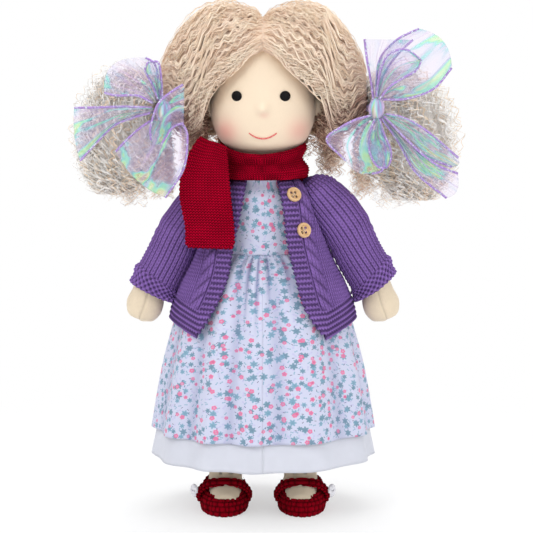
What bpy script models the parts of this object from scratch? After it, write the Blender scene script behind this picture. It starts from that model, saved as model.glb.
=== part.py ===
"""A stuffed cloth doll in knitted, sewn and crocheted clothes, one object for each piece.

Metres, +Z up, the floor at Z = 0. The doll faces -Y and its own left side is at +X.
Each stuffed part is an open skin with its filling. Head, arms, legs, hair bunches and
scarf ends hang from empties that stand on the axes they turn about.
"""

import math

import bmesh
import bpy
import numpy as np
from mathutils import Matrix, Vector

MM = 0.001
LEFT, RIGHT = 1, -1
SIDES = ((LEFT, "left"), (RIGHT, "right"))
HALF = 0.5

# Gaps and cloth
GAP = 0.35 * MM
SKIN = 1.5 * MM
KNIT = 3 * MM
COTTON = 1.1 * MM
RIBBON = 1.2 * MM

# Body
HIP_HEIGHT = 132 * MM
HIP_SPREAD = 24 * MM
ANKLE_SPREAD = 30 * MM
THIGH_RADIUS = 16 * MM
SHIN_RADIUS = 13.6 * MM
INSTEP_HEIGHT = 27 * MM
INSTEP_FORWARD = 15.5 * MM
FOOT_REACH = 15.5 * MM
FOOT_LENGTH = 25 * MM
FOOT_HALF_WIDTH = 14.7 * MM
TORSO_FLOOR = HIP_HEIGHT + THIGH_RADIUS + GAP
TORSO_HEIGHT = 114 * MM
TORSO_HALF_WIDTH = 40 * MM
TORSO_HALF_DEPTH = 30 * MM
SHOULDER_HEIGHT = 250 * MM
SHOULDER_SPREAD = 43 * MM
ARM_RADIUS = 13 * MM
ARM_LENGTH = 113 * MM
ARMHOLE_RADIUS = 8 * MM
NECK_FLOOR = 254 * MM
HEAD_HEIGHT = 120 * MM
HEAD_RADIUS = 42 * MM
FRONT_DENSITY = 0.55
NOSE_HEIGHT = 3.4 * MM
NOSE_SPREAD = 5 * MM
NOSE_PLACE = 321 * MM
EYE_PLACE = 330.5 * MM
EYE_SPREAD = 18.75 * MM
EYE_RADIUS = 3.8 * MM
EYE_DOME = 1.6 * MM
MOUTH_PLACE = 302 * MM
MOUTH_DROP = 4.4 * MM
MOUTH_HALF_WIDTH = 10.6 * MM
MOUTH_THREAD = 0.6 * MM
EAR_PLACE = 322 * MM
EAR_CENTRE = 42 * MM
EAR_REACH = 7.5 * MM
EAR_HALF_DEPTH = 4.5 * MM
EAR_HALF_HEIGHT = 8 * MM

# Hair
HAIR_HALF_WIDTH = 84 * MM
HAIR_TOP = 400 * MM
HAIR_FLOOR = 297 * MM
HAIR_HALF_DEPTH = 47 * MM
HAIR_BACK = 9 * MM
FACE_PEAK = 368 * MM
FACE_HALF_WIDTH = 53 * MM
FACE_DEPTH = 6 * MM
TEMPLE_HALF_WIDTH = 44 * MM
TIE_SPREAD = 80 * MM
TIE_HEIGHT = 321 * MM
TIE_SEAT = 14 * MM
TIE_RADIUS = 8 * MM
TIE_CORD = 1.6 * MM
NOTCH_RADIUS = 12.3 * MM
ROOT_RADIUS = 6 * MM
BUNCH_REACH = 43 * MM
BUNCH_FALL = 76 * MM
BUNCH_RADIUS = 36 * MM
BUNCH_FLATNESS = 0.75

# Bows
BOW_FORWARD = 38 * MM
BOW_CORE = 6.5 * MM
BOW_STEM = 4.5 * MM
BOW_HEIGHT = 320 * MM
LEFT_BOW_SPREAD = 84 * MM
RIGHT_BOW_SPREAD = 76 * MM
BOW_REACH = 60 * MM
LOOP_PUFF = 7 * MM
RIBBON_LAYER = 2.5 * MM

# Clothes
SKIRT_TOP = 205.6 * MM
SKIRT_LENGTH = 141 * MM
SKIRT_HALF_WIDTH = 87 * MM
SKIRT_HALF_DEPTH = 76 * MM
FOLD_DEPTH = 2.2 * MM
FOLDS = 14
PETTICOAT_TOP = 200 * MM
PETTICOAT_LENGTH = 157 * MM
PETTICOAT_HALF_WIDTH = 88 * MM
PETTICOAT_HALF_DEPTH = 77.5 * MM
CARDIGAN_TOP = 265 * MM
CARDIGAN_LENGTH = 125 * MM
CARDIGAN_HALF_WIDTH = 76 * MM
CARDIGAN_HALF_DEPTH = 65 * MM
HEM_FRONT = 144 * MM
HEM_SIDE = 155 * MM
OPENING_HALF_WIDTH = 52 * MM
SLEEVE_EASE = 0.5 * MM
SLEEVE_ROOT = 32 * MM
BUTTON_RADIUS = 6 * MM
BUTTON_THICKNESS = 2.4 * MM
BUTTON_HOLE = 0.8 * MM
BUTTON_HOLE_SPREAD = 2.4 * MM
BUTTON_TOP = (23.5 * MM, 253 * MM)
BUTTON_BOTTOM = (31 * MM, 226 * MM)

# Scarf
SCARF_FLOOR = 265.4 * MM
SCARF_HEIGHT = 28 * MM
SCARF_RADIUS = 38 * MM
SCARF_END_WIDTH = 40 * MM
SCARF_END_THICKNESS = 3.6 * MM
SCARF_END_LENGTH = 82 * MM
SCARF_END_TOP = 295 * MM
SCARF_END_CENTRE = 41 * MM
SCARF_BACK_BULK = 1.03

# Shoes
SHOE_HALF_WIDTH = 19.8 * MM
SHOE_LENGTH = 61 * MM
SHOE_HEEL = 17 * MM
SHOE_HEIGHT = 27 * MM
SHOE_SPREAD = 31 * MM
SHOE_MOUTH_HALF_WIDTH = 13 * MM
SHOE_MOUTH_FLOOR = 12 * MM
SHOE_MOUTH_FRONT = 30 * MM
SHOE_DIP_FRONT = 19.2 * MM
SHOE_DIP_BACK = 25.4 * MM
STRAP_HALF_WIDTH = SHOE_HALF_WIDTH + 0.8 * MM
STRAP_FLOOR = 14 * MM
STRAP_RISE = 12.4 * MM
STRAP_PLACE = 17.5 * MM
STRAP_WIDTH = 7 * MM
STRAP_THICKNESS = 2.4 * MM
STRAP_SQUARENESS = 0.77
SHOE_BUTTON_RADIUS = 5.3 * MM
SHOE_BUTTON_THICKNESS = 1.8 * MM

# How far cutters reach past the doll
BEYOND = CARDIGAN_TOP

# Outlines as shares of the sizes above
# Height, half-width, half-depth
TORSO_SHARES = (
    (0, 0.70, 0.62),
    (0.018, 0.84, 0.82),
    (0.06, 0.94, 0.94),
    (0.15, 1, 1),
    (0.32, 0.95, 0.967),
    (0.496, 0.875, 0.9),
    (0.66, 0.82, 0.85),
    (0.785, 0.743, 0.8),
    (0.885, 0.738, 0.76),
    (0.925, 0.69, 0.71),
    (0.97, 0.53, 0.63),
    (1, 0.46, 0.61),
)
# Height over the neck's floor, radius
HEAD_SHARES = (
    (0.005, 0.38),
    (0.12, 0.38),
    (0.225, 0.39),
    (0.26, 0.5),
    (0.30, 0.69),
    (0.36, 0.84),
    (0.44, 0.94),
    (0.51, 0.985),
    (0.56, 1),
    (0.61, 0.995),
    (0.68, 0.97),
    (0.77, 0.90),
    (0.86, 0.77),
    (0.93, 0.58),
    (0.98, 0.34),
    (1, 0.1),
)
# Along the arm: outwards, downwards, radius, depth
ARM_SHARES = (
    (0, 0, 1, 1),
    (0.18, 0.226, 0.99, 1),
    (0.30, 0.407, 0.96, 0.96),
    (0.38, 0.531, 0.93, 0.93),
    (0.42, 0.646, 0.93, 0.88),
    (0.447, 0.74, 1.08, 0.86),
    (0.469, 0.80, 1.06, 0.80),
    (0.487, 0.85, 0.75, 0.58),
    (0.495, 0.87, 0.3, 0.25),
)
SLEEVE_SHARES = (
    (0, 0, 1),
    (0.18, 0.226, 0.99),
    (0.30, 0.407, 0.98),
    (0.38, 0.531, 1),
    (0.408, 0.59, 1.06),
    (0.424, 0.645, 1.05),
)
# Distance from the middle, top, bottom, depth
HAIR_SHARES = (
    (0, 0.91, 0.03, 1),
    (0.14, 0.95, 0.03, 1),
    (0.30, 0.985, 0.03, 1),
    (0.48, 0.98, 0.03, 0.95),
    (0.65, 0.915, 0.03, 0.85),
    (0.79, 0.79, 0.06, 0.70),
    (0.90, 0.64, 0.11, 0.53),
    (0.97, 0.51, 0.17, 0.36),
    (1, 0.42, 0.24, 0.16),
)
# Outwards from the tie, downwards, radius
BUNCH_SHARES = (
    (-0.285, 0, 0.08),
    (-0.26, 0, 0.14),
    (0, 0, 0.165),
    (0.05, 0, 0.165),
    (0.13, 0, 0.21),
    (0.24, -0.02, 0.72),
    (0.45, 0.02, 1.04),
    (0.72, 0.21, 1.09),
    (0.88, 0.47, 0.98),
    (0.95, 0.72, 0.72),
    (0.96, 0.9, 0.38),
    (0.96, 0.96, 0.16),
)
# Down the skirt, half-width, half-depth, fold depth
SKIRT_SHARES = (
    (0, 0.423, 0.379, 0.1),
    (0.02, 0.46, 0.42, 0.3),
    (0.075, 0.565, 0.515, 0.4),
    (0.18, 0.68, 0.62, 0.5),
    (0.32, 0.76, 0.70, 0.65),
    (0.62, 0.89, 0.86, 0.85),
    (1, 1, 1, 1),
)
PETTICOAT_SHARES = (
    (0, 0.42, 0.372, 0.1),
    (0.14, 0.625, 0.562, 0.4),
    (0.28, 0.705, 0.65, 0.55),
    (0.57, 0.845, 0.815, 0.75),
    (0.87, 0.953, 0.944, 0.9),
    (1, 1, 1, 1),
)
# Down the cardigan, half-width, half-depth
CARDIGAN_SHARES = (
    (0, 0.32, 0.37),
    (0.025, 0.41, 0.43),
    (0.065, 0.50, 0.47),
    (0.12, 0.575, 0.52),
    (0.20, 0.618, 0.56),
    (0.296, 0.645, 0.61),
    (0.40, 0.662, 0.66),
    (0.528, 0.745, 0.76),
    (0.664, 0.86, 0.865),
    (0.80, 0.945, 0.94),
    (0.92, 0.985, 0.985),
    (1, 1, 1),
)
# Down the cardigan, half-width of the opening
OPENING_SHARES = (
    (-0.2, 0.2),
    (0, 0.24),
    (0.18, 0.335),
    (0.40, 0.42),
    (0.58, 0.52),
    (0.77, 0.70),
    (0.97, 1),
    (1.3, 1.3),
)
# Round the scarf's section: radius, height
SCARF_SHARES = (
    (0.455, 0.03),
    (0.88, 0),
    (0.98, 0.15),
    (1, 0.30),
    (0.93, 0.47),
    (0.99, 0.66),
    (0.97, 0.88),
    (0.89, 1),
    (0.845, 0.97),
    (0.80, 0.88),
    (0.68, 0.755),
    (0.53, 0.62),
    (0.455, 0.50),
)
# Down the scarf's end: drop, forward
END_SHARES = (
    (0, -0.28),
    (0.04, -0.12),
    (0.13, 0.03),
    (0.25, 0.03),
    (0.45, 0),
    (0.72, 0.01),
    (1, 0.13),
)
# Height over the floor, back end, front end, half-width
SHOE_SHARES = (
    (0, 0.94, 0.96, 0.84),
    (0.06, 1, 1, 0.96),
    (0.26, 1, 1, 1),
    (0.44, 1, 0.98, 0.99),
    (0.58, 0.99, 0.92, 0.96),
    (0.70, 0.98, 0.83, 0.91),
    (0.80, 0.96, 0.73, 0.84),
    (0.90, 0.93, 0.61, 0.75),
    (1, 0.89, 0.50, 0.64),
)
# Ribbon loops and tails: reach, width, thickness
LOOP_SHARES = ((0.05, 0.12, 0.4), (0.3, 0.6, 0.8), (0.72, 1, 1), (0.94, 0.98, 0.7), (1, 0.9, 0.3))
TAIL_SHARES = ((0.05, 0.14, 1), (0.45, 0.62, 1), (1, 1, 1))
# Each ribbon: loop or tail, outwards and upwards reach, width, all over the reach, and its layer
LEFT_BOW_SHARES = (
    ("tail", 0.383, 1, 0.667, 2),
    ("loop", 0.567, 0.667, 0.5, 0),
    ("loop", -0.383, -0.467, 0.5, 0),
    ("tail", 0.933, 0.7, 0.4, 1),
    ("tail", 0.917, -0.833, 0.5, 1),
)
RIGHT_BOW_SHARES = (
    ("loop", -0.583, 0.5, 0.5, 0),
    ("tail", -1.133, -0.017, 0.367, 1),
    ("tail", -0.133, -1.01, 0.567, 1),
    ("tail", -0.933, -0.633, 0.367, 2),
    ("loop", 0.167, -0.433, 0.467, 0),
)

ROUND = 16
COLOURS = {
    "cotton_skin": ((0.90, 0.74, 0.56), 0.8),
    "wool_stuffing": ((0.86, 0.83, 0.76), 0.95),
    "mohair": ((0.80, 0.66, 0.53), 0.8),
    "eye_thread": ((0.01, 0.01, 0.012), 0.4),
    "mouth_thread": ((0.80, 0.22, 0.24), 0.6),
    "elastic": ((0.62, 0.50, 0.42), 0.7),
    "organza": ((0.74, 0.66, 0.88), 0.25),
    "print_cotton": ((0.86, 0.87, 0.94), 0.85),
    "white_cotton": ((0.90, 0.90, 0.93), 0.85),
    "purple_wool": ((0.26, 0.13, 0.42), 0.9),
    "red_wool": ((0.45, 0.01, 0.03), 0.9),
    "button_wood": ((0.78, 0.52, 0.28), 0.5),
    "white_button": ((0.85, 0.85, 0.88), 0.3),
}


def clear_scene():
    for existing in list(bpy.data.objects):
        bpy.data.objects.remove(existing, do_unlink=True)


def material(name):
    made = bpy.data.materials.get(name)
    if made:
        return made
    colour, roughness = COLOURS[name]
    made = bpy.data.materials.new(name)
    made.use_nodes = True
    shader = made.node_tree.nodes["Principled BSDF"]
    shader.inputs["Base Color"].default_value = (*colour, 1)
    shader.inputs["Roughness"].default_value = roughness
    shader.inputs["Metallic"].default_value = 0
    return made


def body(name, place):
    """An empty on the axis that its pieces turn about."""
    empty = bpy.data.objects.new(name, None)
    empty.location = place
    bpy.context.scene.collection.objects.link(empty)
    return empty


def piece(name, bm, finish, parent):
    """A node, its mesh kept relative to the empty that carries it."""
    mesh = bpy.data.meshes.new(name)
    bm.to_mesh(mesh)
    bm.free()
    mesh.transform(Matrix.Translation(-parent.location))
    mesh.shade_smooth()
    mesh.materials.append(material(finish))
    made = bpy.data.objects.new(name, mesh)
    made.parent = parent
    bpy.context.scene.collection.objects.link(made)
    return made


def cutter(name, bm):
    """A helper that only cuts or joins other pieces."""
    mesh = bpy.data.meshes.new(name)
    bm.to_mesh(mesh)
    bm.free()
    made = bpy.data.objects.new(name, mesh)
    made.hide_render = True
    made.display_type = "WIRE"
    bpy.context.scene.collection.objects.link(made)
    return made


def combine(target, other, operation="DIFFERENCE"):
    step = target.modifiers.new(f"{operation.lower()} {other.name}", "BOOLEAN")
    step.operation = operation
    step.object = other
    return target


def thicken(target, thickness, outwards=False):
    step = target.modifiers.new("cloth", "SOLIDIFY")
    step.thickness = thickness
    step.offset = LEFT if outwards else RIGHT
    return target


def ring(centre, across, up, sides=ROUND):
    """Points round an ellipse, starting at the end of up."""
    turns = (2 * math.pi * step / sides for step in range(sides))
    return [centre + across * math.sin(turn) + up * math.cos(turn) for turn in turns]


def loft(rings, start=True, end=True, around=False):
    """Faces from each ring to the next, with the ends closed or open."""
    bm = bmesh.new()
    loops = [[bm.verts.new(point) for point in points] for points in rings]
    pairs = list(zip(loops, loops[1:]))
    if around:
        pairs.append((loops[-1], loops[0]))
    for one, two in pairs:
        for k in range(len(one)):
            bm.faces.new((one[k - 1], one[k], two[k], two[k - 1]))
    if start and not around:
        bm.faces.new(loops[0])
    if end and not around:
        bm.faces.new(loops[-1])
    bmesh.ops.recalc_face_normals(bm, faces=bm.faces)
    return bm


def grown(bm, amount):
    """The same form with its surface moved out by amount, or in if that is negative."""
    bm.normal_update()
    ways = [vert.normal * vert.calc_shell_factor() for vert in bm.verts]
    for vert, way in zip(bm.verts, ways):
        vert.co += way * amount
    return bm


def read(table, share):
    """A table's second values at a first value."""
    firsts, seconds = [row[0] for row in table], [row[1] for row in table]
    return float(np.interp(share, firsts, seconds))


def box(low, high):
    bm = bmesh.new()
    bmesh.ops.create_cube(bm, size=1)
    low, high = Vector(low), Vector(high)
    bmesh.ops.scale(bm, verts=bm.verts, vec=high - low)
    bmesh.ops.translate(bm, verts=bm.verts, vec=(low + high) / 2)
    return bm


def prism(outline, front, back):
    """An outline in X and Z, carried from front to back along Y."""
    ends = [[Vector((x, y, z)) for x, z in outline] for y in (front, back)]
    return loft(ends)


def rod(start, end, radius, sides=ROUND):
    start, end = Vector(start), Vector(end)
    way = (end - start).normalized()
    side = way.orthogonal().normalized()
    up = way.cross(side)
    return loft([ring(point, side * radius, up * radius, sides) for point in (start, end)])


def ball(centre, radii, sides=ROUND, rows=8):
    """A closed ellipsoid, its poles up and down."""
    centre = Vector(centre)
    rings = []
    for row in range(1, rows):
        tilt = math.pi * (row / rows - HALF)
        across = Vector((radii[0] * math.cos(tilt), 0, 0))
        deep = Vector((0, radii[1] * math.cos(tilt), 0))
        rings.append(ring(centre + Vector((0, 0, radii[2] * math.sin(tilt))), across, deep, sides))
    return loft(rings)


def tube(points, radii, deep=None, sides=ROUND):
    """Rings square to a path in X and Z, with a radius for each of its points."""
    rings = []
    for k, point in enumerate(points):
        before, after = points[max(k - 1, 0)], points[min(k + 1, len(points) - 1)]
        way = (after - before).normalized()
        across = Vector((-way.z, 0, way.x)) * radii[k]
        rings.append(ring(point, across, Vector((0, (deep or radii)[k], 0)), sides))
    return rings


def stuffed(name, rings, parent, filled=None):
    """A cotton skin, open at its first ring, and the wool that fills it."""
    thicken(piece(f"{name}_skin", loft(rings, start=False), "cotton_skin", parent), SKIN)
    filling = grown(loft(filled or rings), -SKIN - GAP)
    piece(f"{name}_stuffing", filling, "wool_stuffing", parent)


# Body and head


def level_rings(table, floor, height, half_width, half_depth, sides):
    """Rings that lie level, from a table of height, half-width and half-depth shares."""
    rings = []
    for up, wide, deep in table:
        centre = Vector((0, 0, floor + up * height))
        across = Vector((wide * half_width, 0, 0))
        rings.append(ring(centre, across, Vector((0, -deep * half_depth, 0)), sides))
    return rings


def torso_rings(sides=ROUND):
    size = (TORSO_FLOOR, TORSO_HEIGHT, TORSO_HALF_WIDTH, TORSO_HALF_DEPTH)
    return level_rings(TORSO_SHARES, *size, sides)[::-1]


def torso(parent):
    rings = torso_rings()
    stuffed("torso", rings, parent, [points for points in rings if points[0].z < NECK_FLOOR])


def head_place(turn, up, out):
    """A point on the head, the nose at turn zero."""
    radius = out * HEAD_RADIUS
    height = NECK_FLOOR + up * HEAD_HEIGHT
    away = math.hypot(radius * math.sin(turn), height - NOSE_PLACE)
    if math.cos(turn) > 0:
        radius += NOSE_HEIGHT * math.exp(-((away / NOSE_SPREAD) ** 2))
    return Vector((radius * math.sin(turn), -radius * math.cos(turn), height))


def head_rings():
    """Rings up the neck and head, their points closest together at the front."""
    sides = 24
    turns = [2 * math.pi * step / sides for step in range(sides)]
    turns = [turn - FRONT_DENSITY * math.sin(turn) for turn in turns]
    return [[head_place(turn, up, out) for turn in turns] for up, out in HEAD_SHARES]


def head_form(name, grow):
    return cutter(name, grown(loft(head_rings()), grow))


def on_face(across, height, out):
    """A point over the face and the way out from there."""
    radius = HEAD_RADIUS * read(HEAD_SHARES, (height - NECK_FLOOR) / HEAD_HEIGHT)
    turn = math.asin(across / radius)
    way = Vector((math.sin(turn), -math.cos(turn), 0))
    return way * (radius + out) + Vector((0, 0, height)), way


def face(parent):
    room = head_form("head_room", GAP)
    for side, word in SIDES:
        place, way = on_face(side * EYE_SPREAD, EYE_PLACE, 0)
        bm = ball((0, 0, 0), (EYE_RADIUS, EYE_RADIUS, EYE_DOME + GAP), 12, 8)
        turn = way.to_track_quat("Z", "Y").to_matrix().to_4x4()
        bmesh.ops.transform(bm, verts=bm.verts, matrix=Matrix.Translation(place) @ turn)
        combine(piece(f"eye_{word}", bm, "eye_thread", parent), room)
        radii = (EAR_REACH, EAR_HALF_DEPTH, EAR_HALF_HEIGHT)
        ear = ball((side * EAR_CENTRE, 0, EAR_PLACE), radii, 12, 8)
        combine(piece(f"ear_{word}", ear, "cotton_skin", parent), room)
    mouth(parent)


def mouth(parent):
    """A bent thread that smiles across the front of the face."""
    steps = 12
    thread = []
    for step in range(steps + 1):
        share = 2 * step / steps - 1
        height = MOUTH_PLACE - MOUTH_DROP * (1 - share**2)
        out = MOUTH_THREAD + GAP
        thread.append(on_face(share * MOUTH_HALF_WIDTH, height, out)[0])
    line = bpy.data.curves.new("mouth_stitch", "CURVE")
    line.dimensions = "3D"
    line.bevel_depth = MOUTH_THREAD
    line.bevel_resolution = 2
    line.use_fill_caps = True
    spline = line.splines.new("POLY")
    spline.points.add(steps)
    for point, place in zip(spline.points, thread):
        point.co = (*(place - parent.location), 1)
    line.materials.append(material("mouth_thread"))
    made = bpy.data.objects.new("mouth_stitch", line)
    made.parent = parent
    bpy.context.scene.collection.objects.link(made)


# Arms, legs and shoes


def arm_tube(side, table, radius, sides=ROUND):
    """A round-ended tube from the shoulder down the arm."""
    start = Vector((side * SHOULDER_SPREAD, 0, SHOULDER_HEIGHT))
    table = [(*row, row[2]) if len(row) < 4 else row for row in table]
    points = [start + Vector((side * row[0], 0, -row[1])) * ARM_LENGTH for row in table]
    way = (points[1] - points[0]).normalized()
    steps = 4
    caps = []
    for step in range(1, steps):
        tilt = math.pi * HALF * step / steps
        out = radius * math.sin(tilt)
        across = Vector((-way.z, 0, way.x)) * out
        centre = start - way * radius * math.cos(tilt)
        caps.append(ring(centre, across, Vector((0, out, 0)), sides))
    wide = [row[2] * radius for row in table]
    deep = [row[3] * radius for row in table]
    return [*caps, *tube(points, wide, deep, sides)]


def arm(side, word, parent):
    stuffed(f"arm_{word}", arm_tube(side, ARM_SHARES, ARM_RADIUS, ROUND - 2), parent)


def leg_rings(side):
    """Rings from the top of the thigh down the shin, round the instep and along the foot."""
    rings = []
    sides = ROUND - 2
    for tilt in (math.radians(degrees) for degrees in (10, 35, 62)):
        out = THIGH_RADIUS * math.sin(tilt)
        centre = Vector((side * HIP_SPREAD, 0, HIP_HEIGHT + THIGH_RADIUS * math.cos(tilt)))
        rings.append(ring(centre, Vector((out, 0, 0)), Vector((0, -out, 0)), sides))
    for share in (0, HALF, 1):
        spread = HIP_SPREAD + (ANKLE_SPREAD - HIP_SPREAD) * share
        height = HIP_HEIGHT + (INSTEP_HEIGHT - HIP_HEIGHT) * share
        out = THIGH_RADIUS + (SHIN_RADIUS - THIGH_RADIUS) * share
        centre = Vector((side * spread, 0, height))
        rings.append(ring(centre, Vector((out, 0, 0)), Vector((0, -out, 0)), sides))
    foot_shares = ((30, 1, 1.06), (60, 0.95, 0.98), (90, 0.84, 0.81))
    for degrees, reach, thick in foot_shares:
        turn = math.radians(degrees)
        way = Vector((0, math.cos(turn), -math.sin(turn)))
        centre = Vector((side * ANKLE_SPREAD, -INSTEP_FORWARD, INSTEP_HEIGHT))
        centre += way * reach * FOOT_REACH
        across = Vector((FOOT_HALF_WIDTH, 0, 0))
        rings.append(ring(centre, across, -way * thick * SHIN_RADIUS, sides))
    toe_shares = ((0.5, 0.95, 0.70), (0.85, 0.72, 0.48), (1, 0.35, 0.22))
    top = rings[-1]
    floor = min(point.z for point in top)
    for share, wide, thick in toe_shares:
        high = SHIN_RADIUS * thick
        forward = -INSTEP_FORWARD - share * FOOT_LENGTH
        lift = (1 - wide) * SHIN_RADIUS * HALF * HALF
        centre = Vector((side * ANKLE_SPREAD, forward, floor + lift + high))
        rings.append(ring(centre, Vector((SHIN_RADIUS * wide, 0, 0)), Vector((0, 0, high)), sides))
    return rings


def shoe_rings(side):
    rings = []
    front_end = SHOE_HEEL - SHOE_LENGTH
    for up, back, front, wide in SHOE_SHARES:
        behind, ahead = SHOE_HEEL * back, front_end * front
        centre = Vector((side * SHOE_SPREAD, (behind + ahead) / 2, up * SHOE_HEIGHT))
        across = Vector((SHOE_HALF_WIDTH * wide, 0, 0))
        rings.append(ring(centre, across, Vector((0, (ahead - behind) / 2, 0))))
    return rings


def shoe(side, word, parent):
    """A crocheted shoe with an open instep, its strap and the strap's button."""
    made = piece(f"shoe_{word}", loft(shoe_rings(side)), "red_wool", parent)
    combine(made, cutter(f"shoe_{word}_foot_room", grown(loft(leg_rings(side)), GAP)))
    centre = Vector((side * SHOE_SPREAD, -SHOE_MOUTH_FRONT / 2, SHOE_MOUTH_FLOOR))
    across = Vector((SHOE_MOUTH_HALF_WIDTH, 0, 0))
    deep = Vector((0, SHOE_MOUTH_FRONT / 2, 0))
    top = centre + Vector((0, 0, SHOE_HEIGHT))
    mouth_rings = [ring(point, across, deep) for point in (centre, top)]
    combine(made, cutter(f"shoe_{word}_mouth", loft(mouth_rings)))
    dip = [
        Vector((0, y, z))
        for y, z in (
            (-SHOE_MOUTH_FRONT, SHOE_DIP_FRONT),
            (SHOE_HEEL, SHOE_DIP_BACK),
            (SHOE_HEEL, SHOE_HEIGHT * 2),
            (-SHOE_MOUTH_FRONT, SHOE_HEIGHT * 2),
        )
    ]
    wide = Vector((SHOE_HALF_WIDTH * 2, 0, 0))
    middle = Vector((side * SHOE_SPREAD, 0, 0))
    ends = [[point + middle + wide * way for point in dip] for way in (LEFT, RIGHT)]
    combine(made, cutter(f"shoe_{word}_dip", loft(ends)))
    strap(side, word, parent)


def strap(side, word, parent):
    steps = 14
    sections = []
    tilt = Vector((0, -STRAP_WIDTH, -STRAP_WIDTH * HALF))
    for step in range(steps + 1):
        turn = math.pi * (step / steps - HALF)
        sine, cosine = math.sin(turn), math.cos(turn)
        x = math.copysign(abs(sine) ** STRAP_SQUARENESS, sine)
        z = abs(cosine) ** STRAP_SQUARENESS
        inner = Vector((side * SHOE_SPREAD, -STRAP_PLACE, STRAP_FLOOR))
        inner += Vector((x * STRAP_HALF_WIDTH, 0, z * STRAP_RISE))
        out = Vector((sine, 0, cosine)) * STRAP_THICKNESS
        sections.append([inner, inner + out, inner + out + tilt, inner + tilt])
    made = piece(f"shoe_strap_{word}", loft(sections), "red_wool", parent)
    combine(made, cutter(f"shoe_strap_{word}_room", grown(loft(shoe_rings(side)), GAP)))
    out = side * (SHOE_SPREAD + STRAP_HALF_WIDTH + STRAP_THICKNESS + GAP)
    place = Vector((out, -STRAP_PLACE - STRAP_WIDTH * HALF, STRAP_FLOOR + SHOE_BUTTON_RADIUS / 2))
    far = place + Vector((side * SHOE_BUTTON_THICKNESS, 0, 0))
    piece(f"shoe_button_{word}", rod(place, far, SHOE_BUTTON_RADIUS), "white_button", parent)


# Hair and bows


def hair_rings():
    """Upright rings across the head of hair, from its right side to its left."""
    rings = []
    table = [*((-row[0], *row[1:]) for row in HAIR_SHARES[:0:-1]), *HAIR_SHARES]
    rise = HAIR_TOP - HAIR_FLOOR
    for out, top, bottom, deep in table:
        middle, half = (top + bottom) / 2, (top - bottom) / 2
        centre = Vector((out * HAIR_HALF_WIDTH, HAIR_BACK * deep, HAIR_FLOOR + middle * rise))
        across = Vector((0, deep * HAIR_HALF_DEPTH, 0))
        rings.append(ring(centre, across, Vector((0, 0, half * rise)), ROUND + 4))
    return rings


def tie_place(side):
    return Vector((side * TIE_SPREAD, 0, TIE_HEIGHT))


def hair(parent):
    made = piece("hair_cap", loft(hair_rings()), "mohair", parent)
    combine(made, head_form("hair_head_room", GAP))
    side_height = EAR_PLACE + EAR_HALF_HEIGHT + GAP
    outline = (
        (0, FACE_PEAK),
        (TEMPLE_HALF_WIDTH, side_height),
        (FACE_HALF_WIDTH, side_height - EAR_HALF_HEIGHT * HALF),
        (FACE_HALF_WIDTH, HAIR_FLOOR - EAR_HALF_HEIGHT),
        (-FACE_HALF_WIDTH, HAIR_FLOOR - EAR_HALF_HEIGHT),
        (-FACE_HALF_WIDTH, side_height - EAR_HALF_HEIGHT * HALF),
        (-TEMPLE_HALF_WIDTH, side_height),
    )
    combine(made, cutter("face_window", prism(outline, -BEYOND, FACE_DEPTH)))
    for side, word in SIDES:
        seat = ball(tie_place(side), (TIE_SEAT, TIE_SEAT, TIE_SEAT))
        combine(made, cutter(f"tie_seat_{word}", seat))
        front = tie_place(side) - Vector((0, HAIR_HALF_DEPTH, 0))
        notch = rod(tie_place(side), front, NOTCH_RADIUS)
        combine(made, cutter(f"bow_notch_{word}", notch))


def bunch(side, word, parent):
    points = [
        tie_place(side) + Vector((side * out * BUNCH_REACH, 0, -down * BUNCH_FALL))
        for out, down, _ in BUNCH_SHARES
    ]
    wide = [row[2] * BUNCH_RADIUS for row in BUNCH_SHARES]
    root = sum(row[0] <= 0 for row in BUNCH_SHARES) + 1
    deep = [min(radius, ROOT_RADIUS) for radius in wide[:root]]
    deep += [radius * BUNCH_FLATNESS for radius in wide[root:]]
    made = piece(f"bunch_{word}", loft(tube(points, wide, deep)), "mohair", parent)
    combine(made, cutter(f"bunch_{word}_stem_room", bow_stem(side, GAP)))
    cord = []
    steps = ROUND - 4
    for step in range(steps):
        turn = 2 * math.pi * step / steps
        way = Vector((0, math.sin(turn), math.cos(turn)))
        place = tie_place(side) + way * TIE_RADIUS
        cord.append(ring(place, Vector((TIE_CORD, 0, 0)), way * TIE_CORD, 6))
    piece(f"hair_tie_{word}", loft(cord, around=True), "elastic", parent)


def bow_place(side):
    spread = LEFT_BOW_SPREAD if side == LEFT else -RIGHT_BOW_SPREAD
    return Vector((spread, -BOW_FORWARD, BOW_HEIGHT))


def bow_stem(side, grow):
    """The bound part of the ribbon, from the knot back to the hair tie."""
    radius = BOW_STEM + grow
    x, back = bow_place(side).x, TIE_RADIUS + TIE_CORD + GAP - grow
    return rod((x, -BOW_FORWARD, BOW_HEIGHT), (x, -back, BOW_HEIGHT), radius, 10)


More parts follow.
